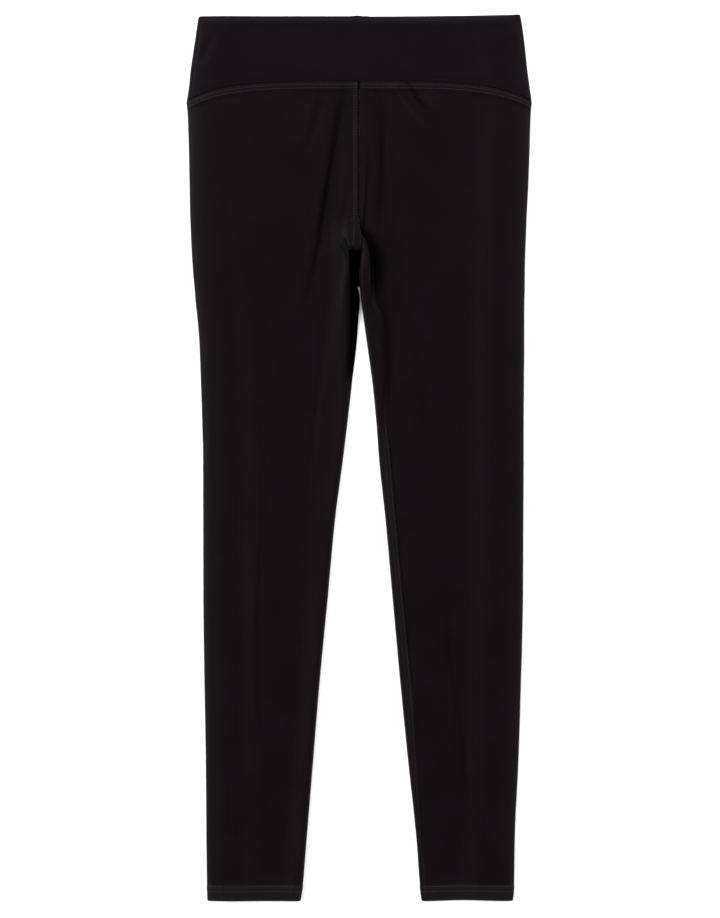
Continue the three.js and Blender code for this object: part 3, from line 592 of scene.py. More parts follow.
def knit(name, low, high, relief):
    """Base colour from two scales of noise. Relief is |sin| across a wale, cut by the slanted loops."""
    material, tree, shader = start(name, 0.5)
    shader.inputs["Specular IOR Level"].default_value = SPECULAR
    shader.inputs["Sheen Weight"].default_value = SHEEN
    shader.inputs["Sheen Roughness"].default_value = 0.45
    uv = tree.node("ShaderNodeUVMap", {"uv_map": "cloth"}, {})
    split = lambda axis: tree.node("ShaderNodeSeparateXYZ", {}, {0: uv}, output=axis)
    wale, course = split(0) * (1 / (WALE * MM)), split(1) * (1 / (COURSE * MM))
    place = tree.node("ShaderNodeTexCoord", {}, {}, output="Object")
    noise = lambda scale, detail: tree.node(
        "ShaderNodeTexNoise", {}, {"Vector": place, "Scale": scale, "Detail": detail, "Roughness": 0.55})
    broad, fine = noise(22, 3), noise(900, 2)
    mottle = broad.between(0.3, 0.7) * 0.7 + fine.between(0.3, 0.7) * 0.3
    # Painted highlight: the base colour blends to a lighter colour by a vertex mark.
    painted_highlight = tree.node("ShaderNodeAttribute", {"attribute_name": "painted_highlight"}, {}, output="Fac")
    colours = {"Factor": painted_highlight, 6: blend(tree, low, high, mottle), 7: (*PAINTED_HIGHLIGHT_COLOUR, 1)}
    connect(tree.node("ShaderNodeMix", {"data_type": "RGBA"}, colours, output=2), shader, "Base Color")
    connect(fine * 0.1 + 0.4, shader, "Roughness")
    # Painted shade: where the vertex mark is high, the cloth shader is mixed towards a black diffuse.
    painted_shade = tree.node("ShaderNodeAttribute", {"attribute_name": "painted_shade"}, {}, output="Fac")
    shade = tree.node("ShaderNodeBsdfDiffuse", {}, {"Color": PAINTED_SHADE_COLOUR})
    cloth = Value(tree.tree, shader.outputs[0])
    both = tree.node("ShaderNodeMixShader", {}, {0: painted_shade, 1: cloth, 2: shade})
    tree.tree.links.new(both.socket, tree.tree.nodes["Material Output"].inputs["Surface"])
    column = (wale * math.pi).sine().size()
    loops = ((course + wale.pingpong(0.5)) * (2 * math.pi)).sine()
    height = column * (0.65 + loops * 0.35) + fine * 0.35
    loop_relief = {"Height": height, "Strength": relief, "Distance": KNIT_DEPTH * MM}
    connect(tree.node("ShaderNodeBump", {}, loop_relief), shader, "Normal")
    return material


def thread(name, colour):
    """Twisted sewing thread: slightly brighter and smoother than the knit, with a fine twist."""
    material, tree, shader = start(name, 0.6)
    shader.inputs["Specular IOR Level"].default_value = SPECULAR * 2
    shader.inputs["Sheen Weight"].default_value = SHEEN
    place = tree.node("ShaderNodeTexCoord", {}, {}, output="Object")
    fibre = tree.node("ShaderNodeTexNoise", {}, {"Vector": place, "Scale": 2500, "Detail": 2})
    connect(blend(tree, [0.75 * c for c in colour], colour, fibre), shader, "Base Color")
    connect(fibre * 0.2 + 0.5, shader, "Roughness")
    twist = {"Height": fibre, "Strength": 0.3, "Distance": TWIST_DEPTH * MM}
    connect(tree.node("ShaderNodeBump", {}, twist), shader, "Normal")
    return material


SPECULAR, SHEEN = 0.045, 0.02
# Colour of the painted highlight on the hem, its lip, the waist ridge and the band's top fold.
PAINTED_HIGHLIGHT_COLOUR = (0.0062, 0.0052, 0.0058)
LEG_KNIT = knit("leg knit", (0.0010, 0.0003, 0.0006), (0.0018, 0.0007, 0.0013), 0.5)
BAND_KNIT = knit("waistband knit", (0.0010, 0.0003, 0.0009), (0.0017, 0.0006, 0.0015), 0.45)
THREAD = thread("sewing thread", (0.027, 0.023, 0.026))
print("finishes:", [m.name for m in (LEG_KNIT, BAND_KNIT, THREAD)])


# %% [markdown]
# ## Sewing
# The waist seam, the middle seams and the hems are sewn down with two rows of stitches, as stretch
# cloth is. A stitch is a short arch of thread that dives into the cloth at both ends. It is made
# once as a small tube and set down along a path for a whole row at a time, all stitches in one array.

# %% Stitches along a path
STITCH, STITCH_GAP, THREAD_RADIUS = 2.5, 0.7, 0.2
STITCH_SIDES, STITCH_STATIONS = 6, 5
STITCH_ARCH, STITCH_SUNK, STITCH_TAPER = 0.28, 0.16, 0.75


def along_path(path, normals):
    """Even stations down a path: the middle, direction and normal of each stitch."""
    length = np.concatenate([[0], np.cumsum(np.linalg.norm(np.diff(path, axis=0), axis=1))])
    count = max(int(length[-1] // (STITCH + STITCH_GAP)), 1)
    pitch = length[-1] / count
    centre = (np.arange(count) + 0.5) * pitch
    at = lambda values, s: np.stack([np.interp(s, length, values[:, k]) for k in range(3)], axis=1)
    step = at(path, centre + STITCH / 2) - at(path, centre - STITCH / 2)
    direction = step / np.linalg.norm(step, axis=1, keepdims=True)
    normal = at(normals, centre)
    normal /= np.linalg.norm(normal, axis=1, keepdims=True)
    return at(path, centre), direction, normal


def stitches(paths):
    """Vertices and corners of every stitch. A stitch is a tube of six sides: its line is an arch
    height·(1 - (2s)²) above the cloth and its radius narrows towards both ends."""
    centre, direction, normal = (np.concatenate(parts) for parts in zip(*(along_path(*p) for p in paths)))
    across = np.cross(direction, normal)
    s = np.linspace(-0.5, 0.5, STITCH_STATIONS)[:, None]
    turn = np.linspace(0, 2 * np.pi, STITCH_SIDES, endpoint=False)[None, :]
    radius = THREAD_RADIUS * (1 - STITCH_TAPER * (2 * s) ** 4)
    lift = STITCH_ARCH * (1 - (2 * s) ** 2) - STITCH_SUNK + radius * np.sin(turn)
    aside = radius * np.cos(turn)
    ahead = s * STITCH + 0 * turn
    shape = lambda values: values[None, :, :, None]
    spot = lambda vectors: vectors[:, None, None, :]
    points = spot(centre) + shape(ahead) * spot(direction) + shape(lift) * spot(normal)
    points = points + shape(aside) * spot(across)
    index = np.arange(STITCH_STATIONS * STITCH_SIDES).reshape(STITCH_STATIONS, STITCH_SIDES)
    ring = np.roll(index, -1, axis=1)
    side = np.stack([index[:-1], ring[:-1], ring[1:], index[1:]], axis=-1).reshape(-1, 4)
    cap = np.array([[0, 3, 2, 1], [0, 5, 4, 3]])
    tip = STITCH_SIDES * (STITCH_STATIONS - 1) + cap[:, ::-1]
    one = np.concatenate([side, cap, tip])
    corners = one[None] + index.size * np.arange(len(centre))[:, None, None]
    return points.reshape(-1, 3), corners.reshape(-1, 4)


def sew(name, paths):
    vertices, corners = stitches(paths)
    uv = vertices[corners.ravel()][:, :2]
    vertices[:, 2] = np.maximum(vertices[:, 2], 0)
    piece = put(name, vertices, corners, uv, THREAD, {})
    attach(piece, "root")
    print(name, len(vertices) // (STITCH_STATIONS * STITCH_SIDES), "stitches")
    return piece


# %% [markdown]
# ## The legs
# One piece of cloth goes round each leg, so there is no outer seam: only the middle seams, the
# inseam and the hem. The wearer's left leg shows its inseam on the front, as a fine groove along the
# strip that has rolled forward. The right leg keeps it underneath. The painted shade in the deep
# places is worked out beside the relief, from the same edges, and is kept as a mark on the vertices.

# %% Relief of the sewing on a leg
UPPER_COLUMNS, TURN_COLUMNS, UNDER_COLUMNS = 96, 14, 34
TOPSTITCH_OUT = (3.3, 5.4)
TOPSTITCH_DOWN = (3.2, 6.4)
HEM_STITCH = (944.2, 949.5)
MIDDLE_STARTS, TOPSTITCH_ENDS, BACK_ENDS = 94, 222, 240
GROOVE_WIDTH, GROOVE_DEPTH, GROOVE_FADE = 0.75, 0.5, 60
GROOVE_STARTS = {"right": TUBE_START, "left": 372}
WAIST_RIDGE, SEAM_BAND, HEM_RIDGE, HEM_STARTS = 0.3, 0.42, 0.5, 941.5
# Down the left leg's strip: how dark the painted shade in the fold beside it is, how far it fades out, where
# it begins.
STRIP_SHADE = [[205, 0], [226, 0.75], [243, 0.88], [286, 0.85], [300, 0.5], [330, 0.5], [410, 0.45], [470, 0]]
STRIP_FADE = [[226, 15], [243, 22], [286, 21], [308, 18], [360, 9], [470, 5]]
STRIP_BEGINS = [[215, 4], [243, 4.5], [267, 5], [286, 2.5], [308, 8], [330, 6], [400, 5]]


def inseam_arc(name, grid):
    """Where the inseam runs, as a length round the leg from its front edge, in every row."""
    rows, arc, out = grid["rows"], grid["arc"], grid["out"]
    upper = slice(0, UPPER_COLUMNS + 1)
    under = slice(UPPER_COLUMNS + TURN_COLUMNS, None)
    if name == "left":
        target = read(INSEAM, "out", rows)
        passed = np.maximum.accumulate(out[:, upper], axis=1)
        return np.array([np.interp(t, o, a) for t, o, a in zip(target, passed, arc[:, upper])])
    target = read(RIGHT_EDGE, "inner", rows) + BACK_SEAM_IN
    reached = [np.interp(-t, -o, a) for t, o, a in zip(target, out[:, under], arc[:, under])]
    return mix(arc[:, -1], np.array(reached), soften((rows - TUBE_START) / 47))


def sewing_relief(name, grid):
    """Height added along the normal: a raised band under the rows of stitches, a small valley along
    each row, an uneven pucker, and a groove at the inseam."""
    rows, arc, out = grid["rows"][:, None], grid["arc"], grid["out"]
    front = np.arange(out.shape[1])[None, :] <= UPPER_COLUMNS + TURN_COLUMNS // 2
    below = rows - BAND_SIDE_DEPTH
    pucker = 0.5 + 0.5 * uneven(arc, 7.5, 3)
    relief = WAIST_RIDGE * soften(below / 2.5) * (1 - soften((below - 6.5) / 6))
    relief = relief - 0.12 * sum(bell((below - b) / 0.7) for b in TOPSTITCH_DOWN)
    relief = relief - 0.14 * pucker * bell((below - 4.8) / 2.2)
    relief = relief + 0.12 * uneven(arc, 23, 5) * bell((below - 5) / 6)
    band = soften((out - 0.5) / 0.7) * (1 - soften((out - 5.4) / 1.3)) * (1 - soften((rows - 214) / 8))
    if name == "right":
        along = 0.75 + 0.25 * uneven(rows, 9, 8)
        valleys = sum(bell((out - o) / 0.55) for o in TOPSTITCH_OUT)
        relief = relief + SEAM_BAND * band * along
        relief = relief - 0.2 * (1 - soften((rows - 216) / 6)) * valleys
    hem = HEM_RIDGE * soften((rows - HEM_STARTS) / 3) - 0.045 * np.clip(rows - 946, 0, 14)
    hem = hem - 0.2 * sum(bell((rows - d) / 0.9) for d in HEM_STITCH)
    relief = relief + hem + 0.16 * uneven(arc, 11, 4) * bell((rows - 947) / 6)
    relief = relief + 0.1 * uneven(arc, 31, 9) * soften((rows - 938) / 12)
    seam = grid["inseam"][:, None]
    begun = soften((rows - GROOVE_STARTS[name]) / GROOVE_FADE)
    groove = bell((arc - seam) / GROOVE_WIDTH) * begun
    rolled = 0.08 * bell((arc - seam + 2.6) / 1.8) * begun * (0.7 + 0.3 * uneven(rows, 14, 6))
    relief = relief - GROOVE_DEPTH * groove + (rolled if name == "left" else 0)
    wave = 0.10 * uneven(rows + 0.6 * out, 46, 11) * uneven(out - 0.3 * rows, 38, 12)
    return np.where(front, relief + wave, relief * 0.6)


# %% Painted shade at the crotch
def leg_painted_shade(name, grid, front):
    """How much painted shade darkens the cloth, from 0 to 1. It is painted in the beds of the creases,
    along the middle seam, on the ledge under the right leg's edge, and in the fold beside the left leg's
    strip."""
    rows, out, arc = grid["rows"][:, None], grid["out"], grid["arc"]
    painted_bed_shade = fold_height(FOLDS[name], out, rows, column=3)
    middle_seam = 0.85 * (1 - soften((arc - 0.5) / 1.4)) * (1 - soften((rows - 212) / 8))
    if name == "right":
        ledge = read(RIGHT_HEIGHT, "edge", rows)
        beside = 1 - soften((out - ledge + 0.8) / mix(4.6, 8, soften((rows - 268) / 30)))
        shade_amount = beside * soften((rows - 248) / 7) * (1 - soften((rows - 365) / 80))
        under = (grid["column"] > UPPER_COLUMNS + TURN_COLUMNS) & (out < ledge)
        return np.where(front, np.maximum(np.maximum(painted_bed_shade, shade_amount), middle_seam), np.where(under, shade_amount, 0))
    strip = read(LEFT_HEIGHT, "edge", rows)
    into = out - strip
    depth = np.interp(rows, *zip(*STRIP_SHADE))
    begins = np.interp(rows, *zip(*STRIP_BEGINS))
    fade = np.interp(rows, *zip(*STRIP_FADE))
    plateau = mix(-2, 2, soften((rows - 240) / 24))
    wide = soften((into + begins) / begins) * (1 - soften((into - plateau) / fade))
    below_knee = 1 - 0.6 * soften((rows - 690) / 70)
    groove = 0.62 * below_knee * bell((arc - grid["inseam"][:, None]) / 1.5) * soften((rows - 400) / 60)
    inner = read(LEFT_EDGE, "inner", rows)
    rim = 0.45 * bell((out - inner - 1.8) / 1.8) * soften((rows - 232) / 8) * (1 - soften((rows - 288) / 16))
    shade_amount = np.maximum(np.maximum(painted_bed_shade + depth * wide, rim), np.maximum(groove, 0.6 * middle_seam))
    return np.where(front, np.clip(shade_amount, 0, 1), 0)


def leg_painted_highlight(row):
    """How much painted highlight brightens the knit: on the hem, its lip, and on the ridge under the waist
    stitches.
    """
    below = row - BAND_SIDE_DEPTH
    waist = 0.2 * soften((below - 0.8) / 1.6) * (1 - soften((below - 6.8) / 2.4))
    hem = 0.42 * soften((row - 941) / 3) + 0.4 * soften((row - 957) / 1.5)
    return waist + hem


# %% Build a leg
def rolled_depth(distance, width, depth):
    """How far the skin turns down towards a seam edge: deepest at the edge, a quarter circle's fall."""
    return depth * (1 - np.sqrt(1 - np.square(1 - np.clip(distance / width, 0, 1))))


def leg(name):
    side, rows = SIDES[name], LEG_ROWS
    upper, turn, under = leg_line(name, rows)
    parts = [spread(upper, UPPER_COLUMNS), spread(turn, TURN_COLUMNS), spread(under, UNDER_COLUMNS)]
    first, second, third = parts
    joined = (np.concatenate([first[k], second[k][:, 1:], third[k][:, 1:]], axis=1) for k in (0, 1))
    out, height = joined
    row = rows[:, None]
    ring_from = int(np.searchsorted(rows, TUBE_START))
    out[ring_from:, -1], height[ring_from:, -1] = out[ring_from:, 0], height[ring_from:, 0]
    column = np.arange(out.shape[1])[None, :]
    front = column <= UPPER_COLUMNS + TURN_COLUMNS // 2
    outer = read(LEGS[name]["edge"], "outer", row)
    across = np.clip((out - HEM_INNER) / (HEM_OUTER - HEM_INNER), 0, 1)
    pull = soften((row - LENGTH + 4 * HEM_DEPTH) / (3.8 * HEM_DEPTH)) * HEM_PULL * np.sin(np.pi * across) ** 2
    down = down_at(row, out, outer, front) - (pull if name == "left" else 0)
    points = np.stack([side * out, WAIST_Y - down, height], axis=2)
    lengths = np.linalg.norm(np.diff(points, axis=1), axis=2)
    arc = np.concatenate([np.zeros((len(rows), 1)), np.cumsum(lengths, axis=1)], axis=1)
    grid = {"rows": rows, "arc": arc, "out": out, "column": column}
    grid["inseam"] = inseam_arc(name, grid)
    normal = side * normals_of(points, ring_from)
    cloth = mix(LEG_CLOTH, HEM_CLOTH, soften((row - (LENGTH - HEM_DEPTH)) / 2))
    past = np.clip((row - (LENGTH - HEM_ROLL)) / HEM_ROLL, 0, 1)
    round_end = HEM_ROLL * (1 - np.sqrt(1 - past ** 2))
    to_top = row - rows[0]
    open_side = row < TUBE_START
    to_side = np.where(open_side, np.minimum(arc, arc[:, -1:] - arc), 9)
    at_tongue = soften((row - 214) / 4) * (1 - soften((row - 252) / 6)) if name == "right" else 0
    side_depth = rolled_depth(to_side, 0.9, 0.7) * (1 - 0.8 * at_tongue)
    seam_roll = np.maximum(rolled_depth(to_top, 1.0, 0.2), side_depth)
    skin_depth = round_end + seam_roll - sewing_relief(name, grid)
    skin = points - normal * skin_depth[:, :, None]
    lining = points - normal * (cloth - round_end)[:, :, None]
    skin[:, :, 2] = np.maximum(skin[:, :, 2], 0)
    lining[:, :, 2] = np.maximum(lining[:, :, 2], 0)
    skin[ring_from:, -1], lining[ring_from:, -1] = skin[ring_from:, 0], lining[ring_from:, 0]
    outer_arc = arc[:, UPPER_COLUMNS + TURN_COLUMNS // 2][:, None]
    uv = np.stack([200 + arc - outer_arc, LENGTH - np.broadcast_to(row, arc.shape)], axis=2)
    # Painted shade in the creases, seams and crotch folds, and painted highlight on the hem and the waist
    # ridge.
    marks = {"painted_shade": leg_painted_shade(name, grid, front), "painted_highlight": leg_painted_highlight(row)}
    piece = wall(f"{name}_leg_cloth", skin, lining, uv, ring_from, side < 0, LEG_KNIT, marks)
    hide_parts(f"{name}_leg")
    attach(piece, "root")
    grid.update(skin=skin, normal=normal, piece=piece)
    girths = arc[[ring_from, -1], -1].round()
    print(piece.name, skin.shape[:2], "girth at thigh and hem:", girths)
    return grid


leg_grids = {name: leg(name) for name in SIDES}


# %% [markdown]
# ## Rows of stitches on the legs
# A path over the cloth is given by its row and its length round the leg. The same shift trick as
# before finds the column for every point of the path in one interpolation.

# %% Paths on a grid
def on_cloth(grid, row, arc):
    """Points and normals of the skin at given rows and lengths round the piece, by linear blending."""
    rows, arcs = grid["rows"], grid["arc"]
    at = np.clip(np.interp(row, rows, np.arange(len(rows))), 0, len(rows) - 1.001)
    r = at.astype(int)
    shift = 2000.0 * np.arange(len(rows))[:, None]
    columns = np.tile(np.arange(arcs.shape[1], dtype=float), len(rows))
    c = np.interp(arc + 2000.0 * r, (arcs + shift).ravel(), columns)
    c = np.clip(c, 0, arcs.shape[1] - 1.001)
    k = c.astype(int)
    fr, fc = (at - r)[:, None], (c - k)[:, None]

    def blended(values):
        near = mix(values[r, k], values[r, k + 1], fc)
        far = mix(values[r + 1, k], values[r + 1, k + 1], fc)
        return mix(near, far, fr)

    return blended(grid["skin"]), blended(grid["normal"])


def round_leg(grid, row, first, last, samples=400):
    """A row of stitches round the leg at one row."""
    i = int(np.searchsorted(grid["rows"], row))
    arc = np.linspace(first, grid["arc"][i, -1] - last, samples)
    return on_cloth(grid, np.full(samples, float(row)), arc)


def down_leg(grid, first, last, arc_at, samples=300):
    """A row of stitches down the leg, at a length from its front edge that may change with the row."""
    rows = np.linspace(first, last, samples)
    return on_cloth(grid, rows, arc_at(rows))


# %% Sew the legs
for name, grid in leg_grids.items():
    end = lambda row, grid=grid: np.interp(row, grid["rows"], grid["arc"][:, -1])
    waist_rows = [round_leg(grid, BAND_SIDE_DEPTH + b, 1.2, 1.2) for b in TOPSTITCH_DOWN]
    hem_rows = [round_leg(grid, d, 0, 0) for d in HEM_STITCH]
    middle_rows = []
    if name == "right":
        for o in TOPSTITCH_OUT:
            middle_rows.append(down_leg(grid, MIDDLE_STARTS, TOPSTITCH_ENDS, lambda rows: o + 0 * rows))
        for o in TOPSTITCH_OUT:
            middle_rows.append(down_leg(grid, MIDDLE_STARTS, BACK_ENDS, lambda rows: end(rows) - o))
    sew(f"{name}_leg_stitches", waist_rows + hem_rows + middle_rows)

# %% [markdown]
# ## The waistband
# The waistband is a doubled strip, so its top edge is a fold and not a seam. It lies as a flat tube
# whose side seams sit just inside the outline. Here front and back are one wall each, as thick as
# the two layers, with a round top edge, carried along the line from side seam to side seam.

# %% Waistband
BAND_TURNS = np.radians(np.linspace(80, 0, 9))
BAND_HALF_CLOTH = BAND_CLOTH / 2
BAND_FOLD_LEVEL, BAND_UNDER_ROUND = 2.8, 3.4
BAND_SHARES = np.linspace(0.02, 1, 46)
BAND_DROOP, DROOP_WIDTH = 0.8, 10
BAND_PEEK, PEEK_FROM, PEEK_TO = 1.3, 8, 158
SIDE_TURN = math.asin(1 - SIDE_SEAM_IN / OUTER_ROUND)
GAP_TURN = 2 * HALF_GAP / BAND_RIM
BAND_FOLDS = [
    ("side crease", -0.5, 5, 0, [[20, -157], [40, -165], [58, -171]]),
    ("middle dent", -0.35, 9, 0, [[4, 30], [34, 38], [72, 52]]),
    ("belly dent", -0.3, 14, 0, [[10, -70], [40, -60], [75, -50]]),
    ("right dent", -0.35, 8, 0, [[6, 118], [40, 126], [84, 140]]),
]


def band_top(near):
    """Height of the front band by the distance from its outline: a round shoulder, then nearly level."""
    level = mix(BAND_MIDDLE, BAND_RIM, 1 - soften((near - SHOULDER_WIDTH) / SHOULDER_FADE))
    return mix(BAND_FOLD_LEVEL, level, shoulder(near))


def band_fold(edge, sign, turn):
    """The side fold: the shoulder down to the outline, then a quarter ellipse to the floor."""
    over = turn < np.pi / 2
    inwards = np.where(over, OUTER_ROUND, BAND_UNDER_ROUND) * (1 - np.sin(turn))
    return sign * (edge - inwards), np.where(over, band_top(inwards), BAND_FOLD_LEVEL * (1 + np.cos(turn)))


def band_line(piece, down):
    """The line across the band in every row, from side seam to side seam, with its wanted spacing."""
    left, right = read(BAND_EDGE, "left", down), read(BAND_EDGE, "right", down)
    flat = mix(-(left - OUTER_ROUND), right - OUTER_ROUND, np.linspace(0, 1, PANEL_POINTS))
    unit = np.linspace(0, 1, FOLD_POINTS) + 0 * down
    near = np.minimum(flat + left, right - flat) - OUTER_ROUND
    if piece == "front":
        turn = SIDE_TURN - GAP_TURN
        first, last = band_fold(left, -1, turn * (1 - unit)), band_fold(right, 1, turn * unit)
        middle = band_top(near + OUTER_ROUND) + fold_height(BAND_FOLDS, flat, down)
    else:
        turn = SIDE_TURN + GAP_TURN
        first, last = band_fold(left, -1, mix(turn, np.pi, unit)), band_fold(right, 1, mix(np.pi, turn, unit))
        middle = 0 * flat
    step = np.where(near < EDGE_WIDTH, 1.4, 3.4)
    out = np.concatenate([first[0], flat, last[0]], axis=1)
    height = np.concatenate([first[1], middle, last[1]], axis=1)
    return out, height, np.concatenate([np.full(unit.shape, 0.8), step, np.full(unit.shape, 0.8)], axis=1)


def band(piece):
    """Rows go from the fold at the top down to the waist seam."""
    top_rows = BAND_HALF_CLOTH * (1 - np.sin(BAND_TURNS))
    shares = np.concatenate([top_rows[:-1] / BAND_SIDE_DEPTH, BAND_SHARES])
    out, height = spread(band_line(piece, shares[:, None] * BAND_SIDE_DEPTH), 150)
    share = shares[:, None]
    front = piece == "front"
    top = waist_line(out)
    if front:
        peek = BAND_PEEK * soften((out - PEEK_FROM) / 10) * (1 - soften((out - PEEK_TO) / 12))
        top = top + peek - 0.8 * bell((out + 2.5) / 4)
    bottom = seam_arch(out / BAND_SIDE_HALF, front) + SEAM_CLOSED
    if front:
        near_top = 1 - soften(share * BAND_SIDE_DEPTH / DROOP_WIDTH)
        height = height - BAND_DROOP * near_top * soften((height - 4.6) / 0.8)
    points = np.stack([out, WAIST_Y - mix(top, bottom, share), height], axis=2)
    lengths = np.linalg.norm(np.diff(points, axis=1), axis=2)
    arc = np.concatenate([np.zeros((len(shares), 1)), np.cumsum(lengths, axis=1)], axis=1)
    normal = normals_of(points, len(shares)) * (1 if front else -1)
    from_top, from_seam = share * (bottom - top), (1 - share) * (bottom - top)
    past = np.clip(1 - from_top / BAND_HALF_CLOTH, 0, 0.985)
    round_top = BAND_HALF_CLOTH * (1 - np.sqrt(1 - past ** 2))
    to_side = np.minimum(arc, arc[:, -1:] - arc)
    seam_roll = np.maximum(rolled_depth(from_seam, 1.4, 0.25), rolled_depth(to_side, 0.8, 0.2))
    soft = 0.14 * uneven(out, 61, 21) * uneven(from_top + 0.4 * out, 70, 22)
    puff = 0.3 * soften(from_top / 5) * (1 - soften((from_top - 6) / 9))
    puff = puff - 0.25 * bell((from_seam - 3.5) / 2.5)
    relief = (soft + puff * (0.8 + 0.4 * uneven(out, 33, 23))) * (1 if front else 0.3)
    skin = points - normal * (round_top + seam_roll - relief)[:, :, None]
    lining = points - normal * (BAND_CLOTH - round_top)[:, :, None]
    skin[:, :, 2] = np.maximum(skin[:, :, 2], 0)
    uv = np.stack([out + 250, LENGTH - from_top], axis=2)
    # Painted highlight along the band's rounded top fold; no painted shade on the band.
    marks = {"painted_shade": 0.0, "painted_highlight": 0.3 * (1 - soften((from_top - 1) / 6))}
    made = wall(f"waistband_{piece}_cloth", skin, lining, uv, len(shares), not front, BAND_KNIT, marks)
    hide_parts(f"waistband_{piece}")
    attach(made, "root")
    print(made.name, skin.shape[:2], "width at the waist and seam:", arc[0, -1].round(), arc[-1, -1].round())
    return {"arc": arc, "skin": skin, "piece": made}


band_grids = {piece: band(piece) for piece in ("front", "back")}

# %% [markdown]
# ## The crotch gusset
# Four seams would meet in one hard knot at the crotch, so a small piece is let in there. It is a
# narrow ribbon that lies between the legs in front, drops into the hollow between the thighs, folds
# under and runs back. A path of few points gives its line, and a smooth curve runs through them.

# %% Gusset
GUSSET_PATH = table("down at height share", [
    [0, 217.8, 6.3, 0], [1, 226, 7.0, 0], [2, 234, 7.8, 0], [3, 241, 8.5, 0], [4, 247, 8.8, 0],
    [5, 250.5, 8.2, 0], [6, 252.6, 6.7, 0], [7, 254.4, 4.9, 0], [8, 256.5, 3.6, 0], [9, 260, 3.1, 0],
    [10, 270, 3.1, 0], [11, 281, 3.1, 0], [12, 290.5, 3.1, 0], [13, 292.4, 2.75, 0.2],
    [14, 293.3, 1.55, 0.5], [15, 292.4, 0.35, 0.8], [16, 290.5, 0, 1], [17, 280, 0, 1],
    [18, 268, 0, 1], [19, 255, 0, 1], [20, 242.5, 0, 1],
])
GUSSET_CLEARANCE, GUSSET_EDGE_ENDS, GUSSET_FOLD_STARTS = 0.12, 293.4, 286
GUSSET_ROWS, GUSSET_COLUMNS = 161, 14


def gusset_reach(name, down, share):
    """How far out the gusset goes: to the leg's front edge on top, to its under layer's end below."""
    line = leg_line(name, np.minimum(down, GUSSET_EDGE_ENDS))
    upper = line[0][0][:, 0] - GUSSET_CLEARANCE
    lower = line[2][0][:, -1] - 2 * HALF_GAP
    at_fold = soften((down - GUSSET_FOLD_STARTS) / (GUSSET_EDGE_ENDS - GUSSET_FOLD_STARTS))
    return mix(upper, lower, share * (1 - at_fold)) - GUSSET_CLEARANCE * at_fold


def gusset():
    """Rows along the path, columns from the right leg to the left one, edges turned down."""
    station = np.linspace(0, 20, GUSSET_ROWS)
    down, height, share = (read(GUSSET_PATH, key, station) for key in ("at", "height", "share"))
    reach = np.stack([-gusset_reach("right", down, share), gusset_reach("left", down, share)])
    x = mix(reach[0][:, None], reach[1][:, None], np.linspace(0, 1, GUSSET_COLUMNS + 1))
    points = np.stack([x, WAIST_Y - down[:, None] + 0 * x, height[:, None] + 0 * x], axis=2)
    normal = normals_of(points, GUSSET_ROWS)
    arc = x - x[:, :1]
    to_side = np.minimum(arc, arc[:, -1:] - arc)
    run = np.concatenate([[0], np.cumsum(np.hypot(np.diff(down), np.diff(height)))])
    crown = 0.35 * np.sin(np.pi * np.linspace(0, 1, GUSSET_COLUMNS + 1)) ** 0.8 * (1 - share[:, None])
    rolled = np.where(x < x.mean(axis=1, keepdims=True), 0.15, 0.6) * rolled_depth(to_side, 0.8, 1)
    skin = points - normal * (rolled - crown)[:, :, None]
    lining = points - normal * LEG_CLOTH
    lining[:, :, 2] = np.maximum(lining[:, :, 2], 0)
    skin[:, :, 2] = np.maximum(skin[:, :, 2], 0)
    uv = np.stack([x + 100, 500 - run[:, None] + 0 * x], axis=2)
    # Painted shade on the gusset where it lies in the pocket between the thighs.
    painted_shade = (soften((station - 5.6) / 1.6) * (1 - soften((station - 14.5) / 1.5)))[:, None]
    marks = {"painted_shade": painted_shade, "painted_highlight": 0.0}
    made = wall("crotch_gusset_cloth", skin, lining, uv, GUSSET_ROWS, False, LEG_KNIT, marks)
    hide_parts("crotch_gusset")
    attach(made, "root")
    print(made.name, skin.shape[:2], "length along the cloth:", run[-1].round())
    return {"arc": arc, "skin": skin, "piece": made, "run": run}


gusset_grid = gusset()

# %% [markdown]
# ## Each piece as cut cloth
# The flat size of what shows of each piece, without its turned-up hem and seam allowances, and its
# area are worked out and printed. Both come from the grids or the driving sizes, so they follow any change.

def declare(grid, flat):
    """Flat area is that of the skin: half the product of each cell's diagonals, added up."""
    skin = grid["skin"]
    first, second = skin[1:, 1:] - skin[:-1, :-1], skin[1:, :-1] - skin[:-1, 1:]
    area = np.linalg.norm(np.cross(first, second), axis=2).sum() / 2
    width, length = flat
    width * MM
    length * MM
    min(area, width * length) * MM * MM
    print(grid["piece"].name, "cut from", round(width), "x", round(length), "area", round(area / 100), "cm²")


for name, grid in leg_grids.items():
    declare(grid, (grid["arc"].max(), LENGTH - BAND_SIDE_DEPTH + FRONT_ARCH))
for piece, grid in band_grids.items():
    rests = ["waistband_back_cloth"] if piece == "front" else []
    declare(grid, (grid["arc"].max(), BAND_SIDE_DEPTH + WAIST_LIFT))
gusset_flat = (gusset_grid["arc"].max(), gusset_grid["run"][-1])
declare(gusset_grid, gusset_flat)

# %% [markdown]
# ## Floor, light and camera
# The leggings lie on a white sweep, photographed from straight above. Broad low lights from both
# sides graze the rounded edges, the left one stronger, a weak one comes from the hems, and a softbox
# beyond the waist lights the top edge. White surroundings fill the rest. The floor is over-exposed,
# as in a catalogue picture, and the colours are left as they are.

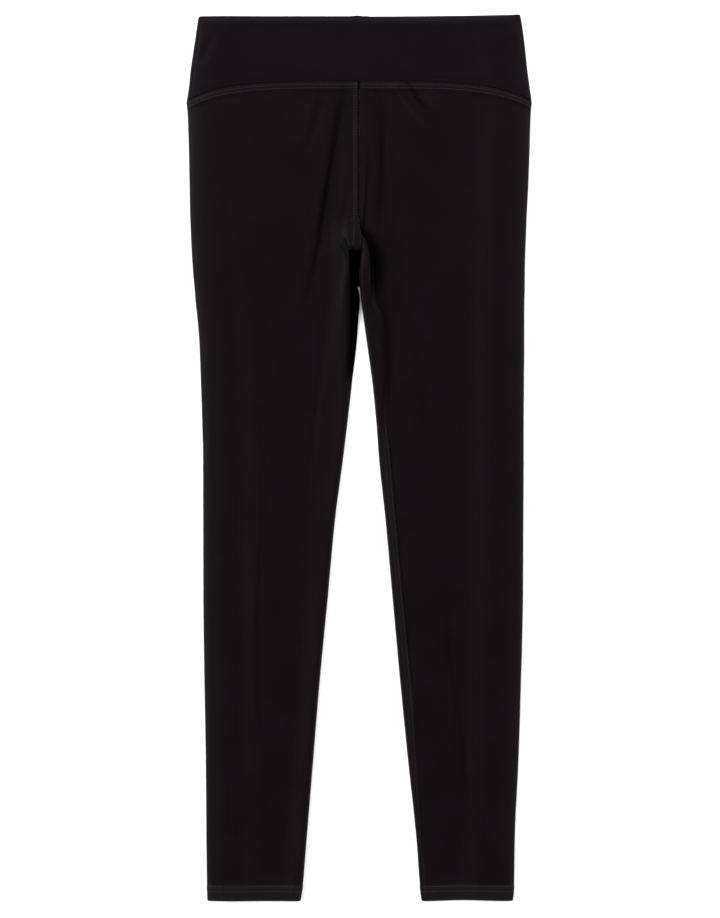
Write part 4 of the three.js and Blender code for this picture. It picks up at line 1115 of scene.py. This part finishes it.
# %% Floor
FLOOR_SIZE, FLOOR_DROP = 6.0, 0.2 * MM
floor_mesh = bpy.data.meshes.new("floor")
half = FLOOR_SIZE / 2
floor_corners = [(half * x, half * y, -FLOOR_DROP) for x, y in ((-1, -1), (1, -1), (1, 1), (-1, 1))]
floor_mesh.from_pydata(floor_corners, [], [(0, 1, 2, 3)])
floor = bpy.data.objects.new("floor", floor_mesh)
bpy.context.collection.objects.link(floor)
floor_material, floor_tree, floor_shader = start("white sweep", 0.9)
floor_shader.inputs["Base Color"].default_value = (0.8, 0.8, 0.8, 1)
floor_shader.inputs["Specular IOR Level"].default_value = 0.1
floor_mesh.materials.append(floor_material)

# %% Light
scene = bpy.context.scene
world = bpy.data.worlds.new("white surroundings")
scene.world = world
world.use_nodes = True
world.node_tree.nodes["Background"].inputs["Color"].default_value = (1, 1, 1, 1)
world.node_tree.nodes["Background"].inputs["Strength"].default_value = 0.14


def softbox(name, strength, comes_from, height, width):
    """A broad far light: where it stands round the leggings, its height and its width, in degrees."""
    light = bpy.data.lights.new(name, "SUN")
    light.energy = strength
    light.angle = math.radians(width)
    lamp = bpy.data.objects.new(name, light)
    lamp.rotation_euler = (0, math.radians(90 - height), math.radians(comes_from))
    bpy.context.collection.objects.link(lamp)


softbox("left softbox", 6.3, 158, 33, 50)
softbox("right softbox", 4.2, 15, 33, 50)
softbox("front softbox", 1.1, -80, 30, 40)
top_data = bpy.data.lights.new("top softbox", "AREA")
top_data.shape, top_data.size, top_data.size_y, top_data.energy = "RECTANGLE", 1.6, 0.9, 18
top_light = bpy.data.objects.new("top softbox", top_data)
top_light.location = (0, 1.6, 1.1)
top_light.rotation_euler = (math.radians(-52), 0, 0)
bpy.context.collection.objects.link(top_light)
scene.view_settings.view_transform = "Standard"
scene.view_settings.look = "None"

# %% Camera
PHOTO_WIDTH, PHOTO_HEIGHT = 720, 918
MM_PER_PIXEL = 1.0845
MIDDLE_PIXEL_X, WAIST_PIXEL_Y = 359.15, 16
LENS, SENSOR = 120, 36
covered = PHOTO_HEIGHT * MM_PER_PIXEL * MM
camera_data = bpy.data.cameras.new("camera")
camera_data.lens = LENS
camera_data.sensor_width = SENSOR
camera_data.sensor_fit = "AUTO"
camera_data.clip_end = 50
camera = bpy.data.objects.new("camera", camera_data)
CLOTH_LEVEL = 4 * MM
camera.location = (
    (PHOTO_WIDTH / 2 - MIDDLE_PIXEL_X) * MM_PER_PIXEL * MM,
    (WAIST_Y - (PHOTO_HEIGHT / 2 - WAIST_PIXEL_Y) * MM_PER_PIXEL) * MM,
    covered * LENS / SENSOR + CLOTH_LEVEL,
)
bpy.context.collection.objects.link(camera)
scene.camera = camera
print("camera at", tuple(round(v, 3) for v in camera.location))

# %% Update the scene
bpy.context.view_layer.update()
